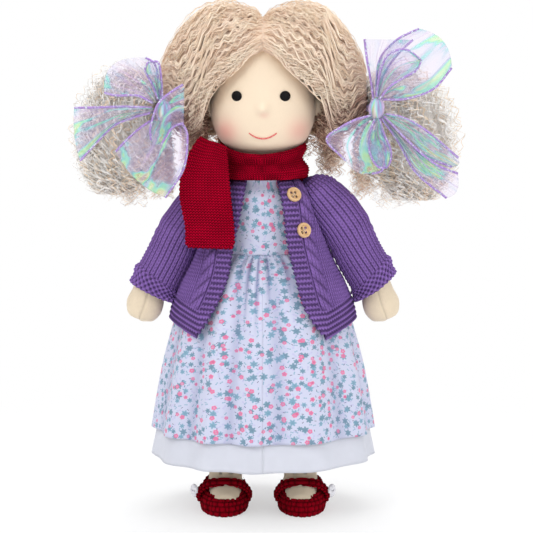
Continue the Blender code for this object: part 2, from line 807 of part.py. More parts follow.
def bow(side, word, parent):
    """A ribbon tied round its knot: loops and tails that spread from one core."""
    start = bow_place(side)
    made = piece(f"bow_{word}", ball(start, (BOW_CORE,) * 3, 12, 6), "organza", parent)
    combine(made, cutter(f"bow_{word}_stem", bow_stem(side, 0)), "UNION")
    ribbons = LEFT_BOW_SHARES if side == LEFT else RIGHT_BOW_SHARES
    for number, (kind, out, up, width, layer) in enumerate(ribbons):
        table, puff = (LOOP_SHARES, LOOP_PUFF) if kind == "loop" else (TAIL_SHARES, RIBBON)
        out, up, width = out * BOW_REACH, up * BOW_REACH, width * BOW_REACH
        across = Vector((-up, 0, out)).normalized() * width * HALF
        sections = []
        for far, wide, thick in table:
            place = start + Vector((out * far, -RIBBON_LAYER * layer * far, up * far))
            deep = Vector((0, puff * thick * HALF, 0))
            if kind == "loop":
                sections.append(ring(place, across * wide, deep, 8))
            else:
                ends = across * wide
                upper = [place + ends + deep, place + ends - deep]
                sections.append([*upper, place - ends - deep, place - ends + deep])
        combine(made, cutter(f"bow_{word}_{kind}_{number}", loft(sections)), "UNION")


# Dress and petticoat


def cloth_rings(table, top, length, half_width, half_depth, sides):
    """Gathered cloth hanging from the waist, its folds deeper towards the hem."""
    rings = []
    for down, wide, deep, fold in table:
        points = []
        for step in range(sides):
            turn = 2 * math.pi * step / sides
            wave = FOLD_DEPTH * fold * math.cos(FOLDS * turn)
            x = (wide * half_width + wave) * math.sin(turn)
            y = -(deep * half_depth + wave) * math.cos(turn)
            points.append(Vector((x, y, top - down * length)))
        rings.append(points)
    return rings


def cloth(name, table, sizes, sides, finish, parent):
    rings = cloth_rings(table, *sizes, sides)
    return thicken(piece(name, loft(rings, False, False), finish, parent), COTTON)


def dress(parent):
    sizes = (SKIRT_TOP, SKIRT_LENGTH, SKIRT_HALF_WIDTH, SKIRT_HALF_DEPTH)
    cloth("skirt", SKIRT_SHARES, sizes, FOLDS * 4, "print_cotton", parent)
    sizes = (PETTICOAT_TOP, PETTICOAT_LENGTH, PETTICOAT_HALF_WIDTH, PETTICOAT_HALF_DEPTH)
    cloth("petticoat", PETTICOAT_SHARES, sizes, FOLDS * 3, "white_cotton", parent)
    rings = torso_rings()
    bottom = SKIRT_TOP + GAP
    kept = [points for points in rings if bottom < points[0].z]
    waist = [
        [low.lerp(high, (bottom - low.z) / (high.z - low.z)) for low, high in zip(one, two)]
        for two, one in zip(rings, rings[1:])
        if one[0].z <= bottom < two[0].z
    ]
    inside = grown(loft(kept + waist, False, False), GAP)
    made = thicken(piece("dress_bodice", inside, "print_cotton", parent), COTTON, True)
    reach = Vector((BEYOND, 0, 0))
    middle = Vector((0, 0, SHOULDER_HEIGHT))
    armholes = rod(middle - reach, middle + reach, ARMHOLE_RADIUS)
    combine(made, cutter("armholes", armholes))


# Cardigan and scarf


def cardigan_rings(sides=26):
    size = (CARDIGAN_TOP, -CARDIGAN_LENGTH, CARDIGAN_HALF_WIDTH, CARDIGAN_HALF_DEPTH)
    return level_rings(CARDIGAN_SHARES, *size, sides)


def arm_room(side):
    """All that a sleeve sweeps as its arm turns, as a cone about the shoulder's axis."""
    radius = ARM_RADIUS + SLEEVE_EASE + KNIT + GAP
    down, out = ARM_SHARES[1][1], ARM_SHARES[1][0]
    lean = math.atan2(out, down)
    rings = []
    steps = 6
    for step in range(1, steps + 1):
        turn = (math.pi * HALF - lean) * step / steps
        x = SHOULDER_SPREAD - radius * math.cos(turn)
        rings.append((x, radius * math.sin(turn)))
    x, out = rings[-1]
    far = SHOULDER_SPREAD
    rings.append((x + far * math.sin(lean), out + far * math.cos(lean)))
    centre = Vector((0, 0, SHOULDER_HEIGHT))
    return loft([
        ring(centre + Vector((side * x, 0, 0)), Vector((0, out, 0)), Vector((0, 0, out)), 24)
        for x, out in rings
    ])


def opening_outline():
    """The gap between the two fronts, wider towards the hem."""
    edge = [
        (OPENING_HALF_WIDTH * wide, CARDIGAN_TOP - down * CARDIGAN_LENGTH)
        for down, wide in OPENING_SHARES
    ]
    return [*edge, *((-x, z) for x, z in edge[::-1])]


def hem_outline():
    low = HEM_FRONT - BEYOND
    edge = [(OPENING_HALF_WIDTH, HEM_FRONT), (CARDIGAN_HALF_WIDTH, HEM_SIDE), (BEYOND, HEM_SIDE)]
    edge.append((BEYOND, low))
    return [*edge, *((-x, z) for x, z in edge[::-1])]


def cardigan(parent):
    hem = cutter("cardigan_hem", prism(hem_outline(), -BEYOND, BEYOND))
    rooms = [cutter(f"arm_room_{word}", arm_room(side)) for side, word in SIDES]
    opening = cutter("cardigan_opening", prism(opening_outline(), -BEYOND, 0))
    halves = (
        ("cardigan_back", -BEYOND, BEYOND, GAP / 2, BEYOND),
        ("cardigan_front_left", 0, BEYOND, -BEYOND, -GAP / 2),
        ("cardigan_front_right", -BEYOND, 0, -BEYOND, -GAP / 2),
    )
    for name, low, high, front, back in halves:
        made = piece(name, loft(cardigan_rings(), False, False), "purple_wool", parent)
        thicken(made, KNIT)
        keep = box((low, front, 0), (high, back, BEYOND * 2))
        combine(made, cutter(f"{name}_part", keep), "INTERSECT")
        for cut in (hem, *rooms):
            combine(made, cut)
        if name != "cardigan_back":
            combine(made, opening)
    for place, word in ((BUTTON_TOP, "top"), (BUTTON_BOTTOM, "bottom")):
        cardigan_button(place, word, parent)


def cardigan_front(x, z):
    """A point on the outside of the cardigan's front."""
    share = (CARDIGAN_TOP - z) / CARDIGAN_LENGTH
    wide = read(CARDIGAN_SHARES, share) * CARDIGAN_HALF_WIDTH
    depths = [(row[0], row[2]) for row in CARDIGAN_SHARES]
    deep = read(depths, share) * CARDIGAN_HALF_DEPTH
    return Vector((x, -deep * math.sqrt(1 - (x / wide) ** 2), z))


def cardigan_button(place, word, parent):
    """A wooden button with four holes, flat against the band of the left front."""
    x, z = place
    step = BUTTON_RADIUS
    along = cardigan_front(x + step, z) - cardigan_front(x - step, z)
    down = cardigan_front(x, z - step) - cardigan_front(x, z + step)
    way = down.cross(along).normalized()
    if way.y > 0:
        way = -way
    corners = [(x + dx * step, z + dz * step) for dx in (LEFT, RIGHT) for dz in (LEFT, RIGHT)]
    lift = max((cardigan_front(*corner) - cardigan_front(x, z)).dot(way) for corner in corners)
    start = cardigan_front(x, z) + way * (max(lift, 0) + GAP * 2)
    disc = rod(start, start + way * BUTTON_THICKNESS, BUTTON_RADIUS, 20)
    made = piece(f"cardigan_button_{word}", disc, "button_wood", parent)
    side = along.normalized()
    up = way.cross(side)
    for number in range(4):
        turn = math.pi * HALF * (number + HALF)
        out = (side * math.cos(turn) + up * math.sin(turn)) * BUTTON_HOLE_SPREAD
        past = way * BUTTON_THICKNESS
        hole = rod(start + out - past, start + out + past * 2, BUTTON_HOLE, 8)
        combine(made, cutter(f"button_{word}_hole_{number}", hole))


def scarf(torso_body):
    """A wrap of two folds round the neck."""
    rings = []
    for out, up in SCARF_SHARES:
        centre = Vector((0, 0, SCARF_FLOOR + up * SCARF_HEIGHT))
        out *= SCARF_RADIUS
        rings.append(ring(centre, Vector((out, 0, 0)), Vector((0, -out, 0)), 20))
    piece("scarf_wrap", loft(rings, around=True), "red_wool", torso_body)


def scarf_end(name, centre, facing, bulk, table, parent):
    """One end of the scarf, over the wrap and down, curved round the chest."""
    sections = []
    across_steps = 4
    for down, forward in table:
        points = []
        z = SCARF_END_TOP - down * SCARF_END_LENGTH
        for layer in (0, 1):
            order = range(across_steps + 1)
            for step in order if layer == 0 else reversed(order):
                share = step / across_steps - HALF
                x = centre + share * SCARF_END_WIDTH
                y = SCARF_RADIUS * bulk * (1 + forward) * math.cos(x / SCARF_RADIUS * HALF)
                y += layer * SCARF_END_THICKNESS
                points.append(Vector((x, facing * y, z)))
        sections.append(points)
    return piece(name, loft(sections), "red_wool", parent)


def main():
    clear_scene()
    torso_body = body("body_torso", (0, 0, HIP_HEIGHT))
    head = body("body_head", (0, 0, NECK_FLOOR))
    torso(torso_body)
    dress(torso_body)
    cardigan(torso_body)
    scarf(torso_body)
    stuffed("head", head_rings(), head)
    face(head)
    hair(head)
    for side, word in SIDES:
        shoulder = (side * SHOULDER_SPREAD, 0, SHOULDER_HEIGHT)
        arm_body = body(f"body_arm_{word}", shoulder)
        arm(side, word, arm_body)
        sleeve_rings = arm_tube(side, SLEEVE_SHARES, ARM_RADIUS + SLEEVE_EASE, ROUND - 2)
        made = piece(f"sleeve_{word}", loft(sleeve_rings, False, False), "purple_wool", arm_body)
        thicken(made, KNIT, True)
        inner = box((-SLEEVE_ROOT, -BEYOND, 0), (SLEEVE_ROOT, BEYOND, BEYOND * 2))
        combine(made, cutter(f"sleeve_{word}_root", inner))
        leg_body = body(f"body_leg_{word}", (side * HIP_SPREAD, 0, HIP_HEIGHT))
        stuffed(f"leg_{word}", leg_rings(side), leg_body)
        shoe(side, word, leg_body)
        bunch_body = body(f"body_bunch_{word}", tie_place(side))
        bunch(side, word, bunch_body)
        bow(side, word, bunch_body)
    front = body("body_scarf_front_end", (-SCARF_END_CENTRE, -SCARF_RADIUS, SCARF_END_TOP))
    scarf_end("scarf_front_end", -SCARF_END_CENTRE, RIGHT, 1, END_SHARES, front)
    back = body("body_scarf_back_end", (SCARF_END_CENTRE * HALF, SCARF_RADIUS, SCARF_END_TOP))
    scarf_end("scarf_back_end", SCARF_END_CENTRE * HALF, LEFT, SCARF_BACK_BULK, END_SHARES[2:], back)


main()
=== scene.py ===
"""A waldorf doll in knitted and sewn clothes, laid out as an add-on with one operator for each group of pieces.

Metres, +Z up. The doll faces -Y, and its own left side is at +X.
"""

import math
import random

import bmesh
import bpy
import numpy as np
from mathutils import Matrix, Vector


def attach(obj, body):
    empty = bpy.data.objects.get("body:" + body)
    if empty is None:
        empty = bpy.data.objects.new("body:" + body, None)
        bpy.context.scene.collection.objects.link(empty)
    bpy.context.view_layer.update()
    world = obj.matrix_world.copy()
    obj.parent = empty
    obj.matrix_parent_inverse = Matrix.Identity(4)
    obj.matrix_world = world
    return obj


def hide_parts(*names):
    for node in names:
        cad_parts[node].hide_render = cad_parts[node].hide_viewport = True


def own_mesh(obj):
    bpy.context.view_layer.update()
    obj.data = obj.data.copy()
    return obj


bl_info = {
    "name": "Waldorf doll",
    "version": (1, 0, 0),
    "blender": (4, 5, 0),
    "location": "View3D > Sidebar > Doll",
    "description": "A stuffed doll with mohair hair, a knitted cardigan and scarf, a printed dress and crocheted shoes",
    "category": "Add Mesh",
}

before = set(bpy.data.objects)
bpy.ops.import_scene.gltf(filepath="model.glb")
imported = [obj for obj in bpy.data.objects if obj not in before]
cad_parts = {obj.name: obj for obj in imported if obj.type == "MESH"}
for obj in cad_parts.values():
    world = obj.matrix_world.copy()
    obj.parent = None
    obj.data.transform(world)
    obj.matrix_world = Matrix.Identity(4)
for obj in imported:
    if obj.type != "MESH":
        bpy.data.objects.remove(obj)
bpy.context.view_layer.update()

MM = 0.001
SIDES = ((1, "left"), (-1, "right"))
TURN = 2 * math.pi

# The body, as in the frame
NECK_FLOOR = 254 * MM
HEAD_HEIGHT = 120 * MM
HEAD_RADIUS = 42 * MM
NOSE_PLACE = 321 * MM
EYE_PLACE = 330.5 * MM
EYE_SPREAD = 18.75 * MM
EAR_PLACE = 321 * MM
SHOULDER = Vector((43 * MM, 0, 250 * MM))
ARM_LENGTH = 113 * MM
ARM_RADIUS = 13 * MM
TIE = Vector((80 * MM, 0, 321 * MM))
SHOE_SPREAD = 31 * MM

# Outlines as shares, smoothed before use
HEAD_SHARES = (
    (0.005, 0.38),
    (0.12, 0.38),
    (0.225, 0.39),
    (0.26, 0.5),
    (0.30, 0.69),
    (0.36, 0.84),
    (0.44, 0.94),
    (0.51, 0.985),
    (0.56, 1),
    (0.61, 0.995),
    (0.68, 0.97),
    (0.77, 0.90),
    (0.86, 0.77),
    (0.93, 0.58),
    (0.98, 0.34),
    (1, 0.05),
)
# Distance from the middle, top, bottom, depth
HAIR_SHARES = (
    (0, 0.91, 0.03, 1),
    (0.14, 0.95, 0.03, 1),
    (0.30, 0.985, 0.03, 1),
    (0.48, 0.98, 0.03, 0.95),
    (0.65, 0.915, 0.03, 0.85),
    (0.79, 0.79, 0.06, 0.70),
    (0.90, 0.64, 0.11, 0.53),
    (0.97, 0.51, 0.17, 0.36),
    (1, 0.42, 0.24, 0.16),
)
# Distance from the middle and height of the hair's front edge, in millimetres
HAIRLINE = (
    (0, 367),
    (10, 360.5),
    (18, 351.5),
    (28, 343),
    (34, 337.5),
    (40, 330),
    (45, 318),
    (49, 308),
    (56, 303),
    (66, 304),
    (76, 313),
    (84, 322),
)
# Outwards from the tie, downwards, radius
BUNCH_SHARES = (
    (0, 0, 0.17),
    (0.07, 0, 0.20),
    (0.14, 0, 0.34),
    (0.24, -0.02, 0.70),
    (0.45, 0.02, 1.04),
    (0.72, 0.21, 1.09),
    (0.88, 0.47, 0.98),
    (0.95, 0.72, 0.76),
    (0.96, 0.9, 0.5),
    (0.96, 0.97, 0.3),
)
# Along the arm: outwards, downwards, radius, depth
ARM_SHARES = (
    (0, 0, 1, 1),
    (0.18, 0.226, 0.99, 1),
    (0.30, 0.407, 0.96, 0.96),
    (0.38, 0.531, 0.93, 0.93),
    (0.42, 0.646, 0.95, 0.88),
    (0.447, 0.74, 1.10, 0.86),
    (0.469, 0.80, 1.08, 0.80),
    (0.487, 0.85, 0.82, 0.58),
    (0.493, 0.868, 0.45, 0.30),
    (0.495, 0.872, 0.03, 0.03),
)
SLEEVE_SHARES = (
    (0, 0, 1, 1),
    (0.18, 0.226, 0.99, 0.99),
    (0.30, 0.407, 0.98, 0.98),
    (0.38, 0.531, 1, 1),
    (0.408, 0.59, 1.06, 1.06),
    (0.424, 0.645, 1.05, 1.05),
)
# Down the skirt: half-width, half-depth, depth of the folds
SKIRT_SHARES = (
    (0, 0.423, 0.379, 0.3),
    (0.02, 0.452, 0.41, 0.8),
    (0.075, 0.565, 0.515, 1),
    (0.18, 0.68, 0.62, 1),
    (0.32, 0.76, 0.70, 1),
    (0.62, 0.89, 0.86, 1),
    (1, 1, 1, 1),
)
PETTICOAT_SHARES = (
    (0, 0.42, 0.372, 0.1),
    (0.14, 0.625, 0.562, 0.4),
    (0.28, 0.705, 0.65, 0.55),
    (0.57, 0.845, 0.815, 0.75),
    (0.87, 0.953, 0.944, 0.9),
    (1, 1, 1, 1),
)
# Up the torso: half-width, half-depth
TORSO_SHARES = (
    (0, 0.70, 0.62),
    (0.018, 0.84, 0.82),
    (0.06, 0.94, 0.94),
    (0.15, 1, 1),
    (0.32, 0.95, 0.967),
    (0.496, 0.875, 0.9),
    (0.66, 0.82, 0.85),
    (0.785, 0.743, 0.8),
    (0.885, 0.738, 0.76),
    (0.925, 0.69, 0.71),
    (0.97, 0.53, 0.63),
    (1, 0.46, 0.61),
)
# Down the cardigan: half-width, half-depth
CARDIGAN_SHARES = (
    (0, 0.32, 0.37),
    (0.025, 0.41, 0.43),
    (0.065, 0.50, 0.47),
    (0.12, 0.575, 0.52),
    (0.20, 0.618, 0.56),
    (0.296, 0.645, 0.61),
    (0.40, 0.662, 0.66),
    (0.528, 0.745, 0.76),
    (0.664, 0.86, 0.865),
    (0.80, 0.945, 0.94),
    (0.92, 0.985, 0.985),
    (1, 1, 1),
)
# Height and distance from the middle of each front's edge, in millimetres
FRONT_EDGES = {
    1: ((265, 12.6), (242, 16.8), (218, 19.8), (193.8, 25.6), (169.5, 32.5), (155, 41), (144, 50)),
    -1: ((265, 14), (240, 18.5), (212, 24.7), (191.6, 28.1), (172, 36), (156, 45), (144, 53)),
}
# Round the scarf's section: radius, height
SCARF_SHARES = (
    (0.455, 0.03),
    (0.70, 0.0),
    (0.84, 0.0),
    (0.93, 0.07),
    (0.96, 0.22),
    (0.93, 0.36),
    (0.85, 0.50),
    (0.83, 0.58),
    (0.86, 0.70),
    (0.91, 0.84),
    (0.90, 0.95),
    (0.85, 0.99),
    (0.78, 0.90),
    (0.66, 0.74),
    (0.53, 0.62),
    (0.455, 0.50),
)
# Down the scarf's end: forwards
END_SHARES = (
    (0, -0.28),
    (0.04, -0.12),
    (0.13, 0.03),
    (0.25, 0.03),
    (0.45, 0),
    (0.72, 0.01),
    (1, 0.13),
)


# Shapes


def smooth(table, steps=10):
    """The same table with a smooth curve's rows between its own."""
    rows = [np.array(row, float) for row in table]
    rows = [2 * rows[0] - rows[1], *rows, 2 * rows[-1] - rows[-2]]
    found = []
    for a, b, c, d in zip(rows, rows[1:], rows[2:], rows[3:]):
        for t in np.arange(steps) / steps:
            bend = (2 * a - 5 * b + 4 * c - d) * t**2 + (3 * b - a - 3 * c + d) * t**3
            found.append((2 * b + (c - a) * t + bend) / 2)
    return np.array([*found, rows[-2]])


def look(table, share):
    """The other columns of a table where its first column has these values."""
    return [np.interp(share, table[:, 0], column) for column in table.T[1:]]


def along_path(points, share):
    """Points at shares of the length of a path."""
    points = np.array(points, float)
    steps = np.linalg.norm(np.diff(points, axis=0), axis=1)
    reach = np.concatenate([[0], np.cumsum(steps)]) / steps.sum()
    return np.stack([np.interp(share, reach, column) for column in points.T], axis=-1)


def ripple(value, seed, sizes=(1, 2.3, 4.1), shares=(1, 0.5, 0.25)):
    """A smooth uneven wave from -1 to 1, the same on each run."""
    total = sum(
        share * np.sin(value * size + seed * (3.1 + size) + 1.7 * np.sin(value * size * 0.37 + seed))
        for size, share in zip(sizes, shares)
    )
    return total / sum(shares)


def bell(value, middle, width):
    return np.exp(-(((value - middle) / width) ** 2))


def step_up(value, low, high):
    share = np.clip((value - low) / (high - low), 0, 1)
    return share * share * (3 - 2 * share)


def to_piece(name, bm, finish, shade=True):
    mesh = bpy.data.meshes.new(name)
    bm.to_mesh(mesh)
    bm.free()
    if shade:
        mesh.shade_smooth()
    mesh.materials.append(finish)
    made = bpy.data.objects.new(name, mesh)
    bpy.context.scene.collection.objects.link(made)
    return made


def face_out(bm, middle=None):
    """Normals that point away from an upright line, or out of a closed form."""
    bmesh.ops.recalc_face_normals(bm, faces=bm.faces)
    if middle is not None:
        out = 0
        for face in bm.faces:
            centre = face.calc_center_median()
            away = centre - Vector((middle[0], middle[1], centre.z))
            out += face.normal.dot(away) * face.calc_area()
        if out < 0:
            bmesh.ops.reverse_faces(bm, faces=bm.faces)


def surface(name, columns, rows, place, finish, middle=None, relief=None, chart=None, marks=None, merge=True):
    """A grid put in place by a function of two shares, with a relief along its normals."""
    bm = bmesh.new()
    bm.loops.layers.uv.new("Cloth")
    bmesh.ops.create_grid(bm, x_segments=columns, y_segments=rows, size=1, calc_uvs=True)
    across_layer = bm.verts.layers.float.new("across")
    along_layer = bm.verts.layers.float.new("along")
    shares = (np.array([vert.co[:2] for vert in bm.verts]) + 1) / 2
    points = place(shares[:, 0], shares[:, 1])
    for vert, share, point in zip(bm.verts, shares, points):
        vert[across_layer], vert[along_layer] = share
        vert.co = point
    if merge:
        bmesh.ops.remove_doubles(bm, verts=bm.verts, dist=1e-6)
    face_out(bm, middle)
    made = to_piece(name, bm, finish)
    mesh = made.data
    count = len(mesh.vertices)
    across, along = np.zeros(count, np.float32), np.zeros(count, np.float32)
    mesh.attributes["across"].data.foreach_get("value", across)
    mesh.attributes["along"].data.foreach_get("value", along)
    if relief:
        co, normals = np.zeros(count * 3, np.float32), np.zeros(count * 3, np.float32)
        mesh.vertices.foreach_get("co", co)
        mesh.vertex_normals.foreach_get("vector", normals)
        rise = relief(across, along)
        co = co.reshape(-1, 3) + normals.reshape(-1, 3) * rise[:, None]
        mesh.vertices.foreach_set("co", co.astype(np.float32).ravel())
    for word, value in (marks or {}).items():
        layer = mesh.attributes.new(word, "FLOAT", "POINT")
        layer.data.foreach_set("value", np.asarray(value(across, along), np.float32))
    if chart:
        uv = np.zeros(len(mesh.loops) * 2, np.float32)
        mesh.uv_layers["Cloth"].data.foreach_get("uv", uv)
        uv = uv.reshape(-1, 2)
        uv = np.stack(chart(uv[:, 0], uv[:, 1]), axis=1).astype(np.float32)
        mesh.uv_layers["Cloth"].data.foreach_set("uv", uv.ravel())
    mesh.attributes.remove(mesh.attributes["across"])
    mesh.attributes.remove(mesh.attributes["along"])
    mesh.update()
    return made


def thicken(made, thickness, offset=-1):
    step = made.modifiers.new("Thickness", "SOLIDIFY")
    step.thickness = thickness
    step.offset = offset
    return made


def settle(made):
    """Makes a piece's modifiers part of its mesh."""
    graph = bpy.context.evaluated_depsgraph_get()
    mesh = bpy.data.meshes.new_from_object(made.evaluated_get(graph), preserve_all_data_layers=True, depsgraph=graph)
    made.modifiers.clear()
    made.data = mesh
    return made


def cut(made, bm):
    """Takes a closed form out of a piece."""
    mesh = bpy.data.meshes.new("cutter")
    bm.to_mesh(mesh)
    bm.free()
    tool = bpy.data.objects.new("cutter", mesh)
    bpy.context.scene.collection.objects.link(tool)
    step = made.modifiers.new("Cut", "BOOLEAN")
    step.operation = "DIFFERENCE"
    step.solver = "MANIFOLD"
    step.object = tool
    settle(made)
    bpy.data.objects.remove(tool)
    return made


def frame_copy(node):
    """A bmesh of a CAD node's form with its loose triangles joined."""
    bm = bmesh.new()
    bm.from_mesh(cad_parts[node].data)
    bmesh.ops.remove_doubles(bm, verts=bm.verts, dist=1e-6)
    bmesh.ops.recalc_face_normals(bm, faces=bm.faces)
    return bm


def remeshed(made, size, smoothing=6):
    step = made.modifiers.new("Even", "REMESH")
    step.mode = "VOXEL"
    step.voxel_size = size
    soft = made.modifiers.new("Soft", "SMOOTH")
    soft.factor = 0.5
    soft.iterations = smoothing
    settle(made)
    made.data.shade_smooth()
    return made


def pushed(made, rise, word=None):
    """Moves a mesh's points along their normals by rise, a function of points and normals."""
    mesh = made.data
    count = len(mesh.vertices)
    co, normals = np.zeros(count * 3, np.float32), np.zeros(count * 3, np.float32)
    mesh.vertices.foreach_get("co", co)
    mesh.vertex_normals.foreach_get("vector", normals)
    co, normals = co.reshape(-1, 3), normals.reshape(-1, 3)
    height, mark = rise(co, normals)
    mesh.vertices.foreach_set("co", (co + normals * height[:, None]).astype(np.float32).ravel())
    if word:
        layer = mesh.attributes.new(word, "FLOAT", "POINT")
        layer.data.foreach_set("value", np.asarray(mark, np.float32))
    mesh.update()
    return made


def threads(name, paths, radius, finishes, resolution=0, flat=False):
    """One curve object of many threads. Each path is its points, their radii and its finish's number."""
    line = bpy.data.curves.new(name, "CURVE")
    line.dimensions = "3D"
    line.use_fill_caps = not flat
    line.bevel_resolution = resolution
    setattr(line, "extrude" if flat else "bevel_depth", radius)
    for finish in finishes:
        line.materials.append(finish)
    for points, radii, number in paths:
        spline = line.splines.new("POLY")
        spline.points.add(len(points) - 1)
        places = np.ones((len(points), 4), np.float32)
        places[:, :3] = points
        spline.points.foreach_set("co", places.ravel())
        spline.points.foreach_set("radius", np.asarray(radii, np.float32))
        if flat:
            spline.points.foreach_set("tilt", np.linspace(0, 3, len(points), dtype=np.float32) + len(line.splines) * 2.4)
        spline.material_index = number
        spline.use_smooth = True
    made = bpy.data.objects.new(name, line)
    bpy.context.scene.collection.objects.link(made)
    return made


def carried(made, body, *nodes, slot=None):
    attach(made, body)
    if nodes:
        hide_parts(*nodes)
    return made


# Finishes


def tint(red, green, blue):
    """A colour as a screen shows it, as the linear values that shaders use."""
    shares = (part / 255 for part in (red, green, blue))
    return tuple(part / 12.92 if part < 0.04045 else ((part + 0.055) / 1.055) ** 2.4 for part in shares)


def scaled(colour, share):
    return tuple(min(part * share, 1) for part in colour)


class Reading:
    """A socket's value. Arithmetic on it adds the nodes that work it out."""

    def __init__(self, finish, socket):
        self.finish, self.socket = finish, socket

    def __add__(self, other):
        return self.finish.math("ADD", self, other)

    __radd__ = __add__

    def __sub__(self, other):
        return self.finish.math("SUBTRACT", self, other)

    def __rsub__(self, other):
        return self.finish.math("SUBTRACT", other, self)

    def __mul__(self, other):
        return self.finish.math("MULTIPLY", self, other)

    __rmul__ = __mul__

    def __truediv__(self, other):
        return self.finish.math("DIVIDE", self, other)

    def __rtruediv__(self, other):
        return self.finish.math("DIVIDE", other, self)

    def __pow__(self, other):
        return self.finish.math("POWER", self, other)

    def __gt__(self, other):
        return self.finish.math("GREATER_THAN", self, other)

    def __lt__(self, other):
        return self.finish.math("LESS_THAN", self, other)

    def __abs__(self):
        return self.finish.math("ABSOLUTE", self)

    def wave(self):
        """From 0 to 1 and back, once for each whole number."""
        return self.finish.math("COSINE", self * TURN) * 0.5 + 0.5

    def part(self):
        return self.finish.math("FRACT", self)

    def floor(self):
        return self.finish.math("FLOOR", self)

    def least(self, other):
        return self.finish.math("MINIMUM", self, other)

    def most(self, other):
        return self.finish.math("MAXIMUM", self, other)

    def between(self, low, high):
        """From 0 at low to 1 at high, smooth at both ends."""
        settings = {"interpolation_type": "SMOOTHSTEP"}
        sockets = {"Value": self, "From Min": low, "From Max": high}
        return self.finish.read("ShaderNodeMapRange", settings, sockets, "Result")


class Finish:
    """A material and the nodes that make it."""

    def __init__(self, name, roughness=0.8, **constants):
        self.material = bpy.data.materials.new(name)
        self.material.use_nodes = True
        self.tree = self.material.node_tree
        self.shader = self.tree.nodes["Principled BSDF"]
        self.shader.inputs["Roughness"].default_value = roughness
        for word, value in constants.items():
            self.shader.inputs[word.replace("_", " ").title()].default_value = value

    def matt(self, share):
        """Leaves this share of the usual gloss."""
        self.shader.inputs["Specular IOR Level"].default_value = 0.5 * share

    def node(self, kind, settings=None, sockets=None):
        made = self.tree.nodes.new(kind)
        for word, value in (settings or {}).items():
            if word == "stops":
                while len(made.color_ramp.elements) < len(value):
                    made.color_ramp.elements.new(1)
                for stop, (place, colour) in zip(made.color_ramp.elements, value):
                    stop.position, stop.color = place, (*colour, 1)
            else:
                setattr(made, word, value)
        for word, value in (sockets or {}).items():
            socket = next(found for found in made.inputs if word in (found.identifier, found.name))
            self.feed(socket, value)
        return made

    def feed(self, socket, value):
        if isinstance(value, Reading):
            self.tree.links.new(value.socket, socket)
        elif socket.type == "RGBA":
            socket.default_value = (*tuple(value)[:3], 1)
        else:
            socket.default_value = value

    def read(self, kind, settings=None, sockets=None, output=0):
        return Reading(self, self.node(kind, settings, sockets).outputs[output])

    def math(self, operation, *values):
        words = ("Value", "Value_001", "Value_002")
        return self.read("ShaderNodeMath", {"operation": operation}, dict(zip(words, values)))

    def mix(self, share, one, two):
        sockets = {"Factor_Float": share, "A_Color": one, "B_Color": two}
        made = self.node("ShaderNodeMix", {"data_type": "RGBA", "clamp_factor": True}, sockets)
        return Reading(self, next(found for found in made.outputs if found.identifier == "Result_Color"))

    def place(self):
        return self.read("ShaderNodeTexCoord", None, None, "Object")

    def chart(self):
        """The piece's own map, in metres across and along."""
        flat = self.read("ShaderNodeUVMap", {"uv_map": "Cloth"}, None, "UV")
        parts = self.node("ShaderNodeSeparateXYZ", None, {"Vector": flat})
        return flat, Reading(self, parts.outputs["X"]), Reading(self, parts.outputs["Y"])

    def mark(self, word):
        return self.read("ShaderNodeAttribute", {"attribute_name": word}, None, "Fac")

    def noise(self, scale, detail=3, vector=None, distortion=0.0, roughness=0.5):
        sockets = {"Vector": vector or self.place(), "Scale": scale, "Detail": detail}
        sockets.update({"Distortion": distortion, "Roughness": roughness})
        return self.read("ShaderNodeTexNoise", None, sockets)

    def stretched(self, vector, scale):
        """The same coordinates, each scaled by its own number."""
        return self.read("ShaderNodeVectorMath", {"operation": "MULTIPLY"}, {"Vector": vector, "Vector_001": scale})

    def done(self, colour, height=None, depth=0.5 * MM, strength=1.0, roughness=None, alpha=None):
        self.feed(self.shader.inputs["Base Color"], colour)
        if height is not None:
            sockets = {"Height": height, "Distance": depth, "Strength": strength}
            self.feed(self.shader.inputs["Normal"], self.read("ShaderNodeBump", None, sockets, "Normal"))
        if roughness is not None:
            self.feed(self.shader.inputs["Roughness"], roughness)
        if alpha is not None:
            self.feed(self.shader.inputs["Alpha"], alpha)
        return self.material


def stocking(across, along, wide, high):
    """Columns of knit stitches, each a V of two slanting legs."""
    leg = abs((across / wide).part() - 0.5)
    body = (leg * 2 + 0.5).least(2.2 - leg * 4.4).least(1).most(0)
    slant = (along / high + leg * 1.3).wave()
    return body * (slant * 0.45 + 0.55)


def garter(across, along, wide, high):
    """Ridges of purl bumps."""
    row = along / high
    bump = (across / wide + (row + 0.5).floor() * 0.5).wave()
    return (row + bump * 0.2).wave() * (bump * 0.5 + 0.5)


def moss(across, along, wide, high):
    """Bumps in alternate places, row by row."""
    return ((across / wide).wave() - 0.5) * ((along / high).wave() - 0.5) * 2 + 0.5


def wool(finish, colour, height, dark=0.3, light=1.2, depth=0.9 * MM):
    """Hairy yarn, with painted shade where it dips and a painted highlight where it stands out."""
    finish.matt(0.1)
    fibre = finish.noise(2400, 4, roughness=0.7)
    patch = finish.noise(60, 2)
    # Painted shade in the dips between stitches and painted highlight on their tops, with random patches of tone.
    shade = height * 0.8 + fibre * 0.35 - 0.1 + (patch - 0.5) * 0.3
    body = finish.mix(shade.between(0.05, 0.7), scaled(colour, dark), colour)
    body = finish.mix(shade.between(0.55, 1.05), body, scaled(colour, light))
    return finish.done(body, height + fibre * 0.3, depth)


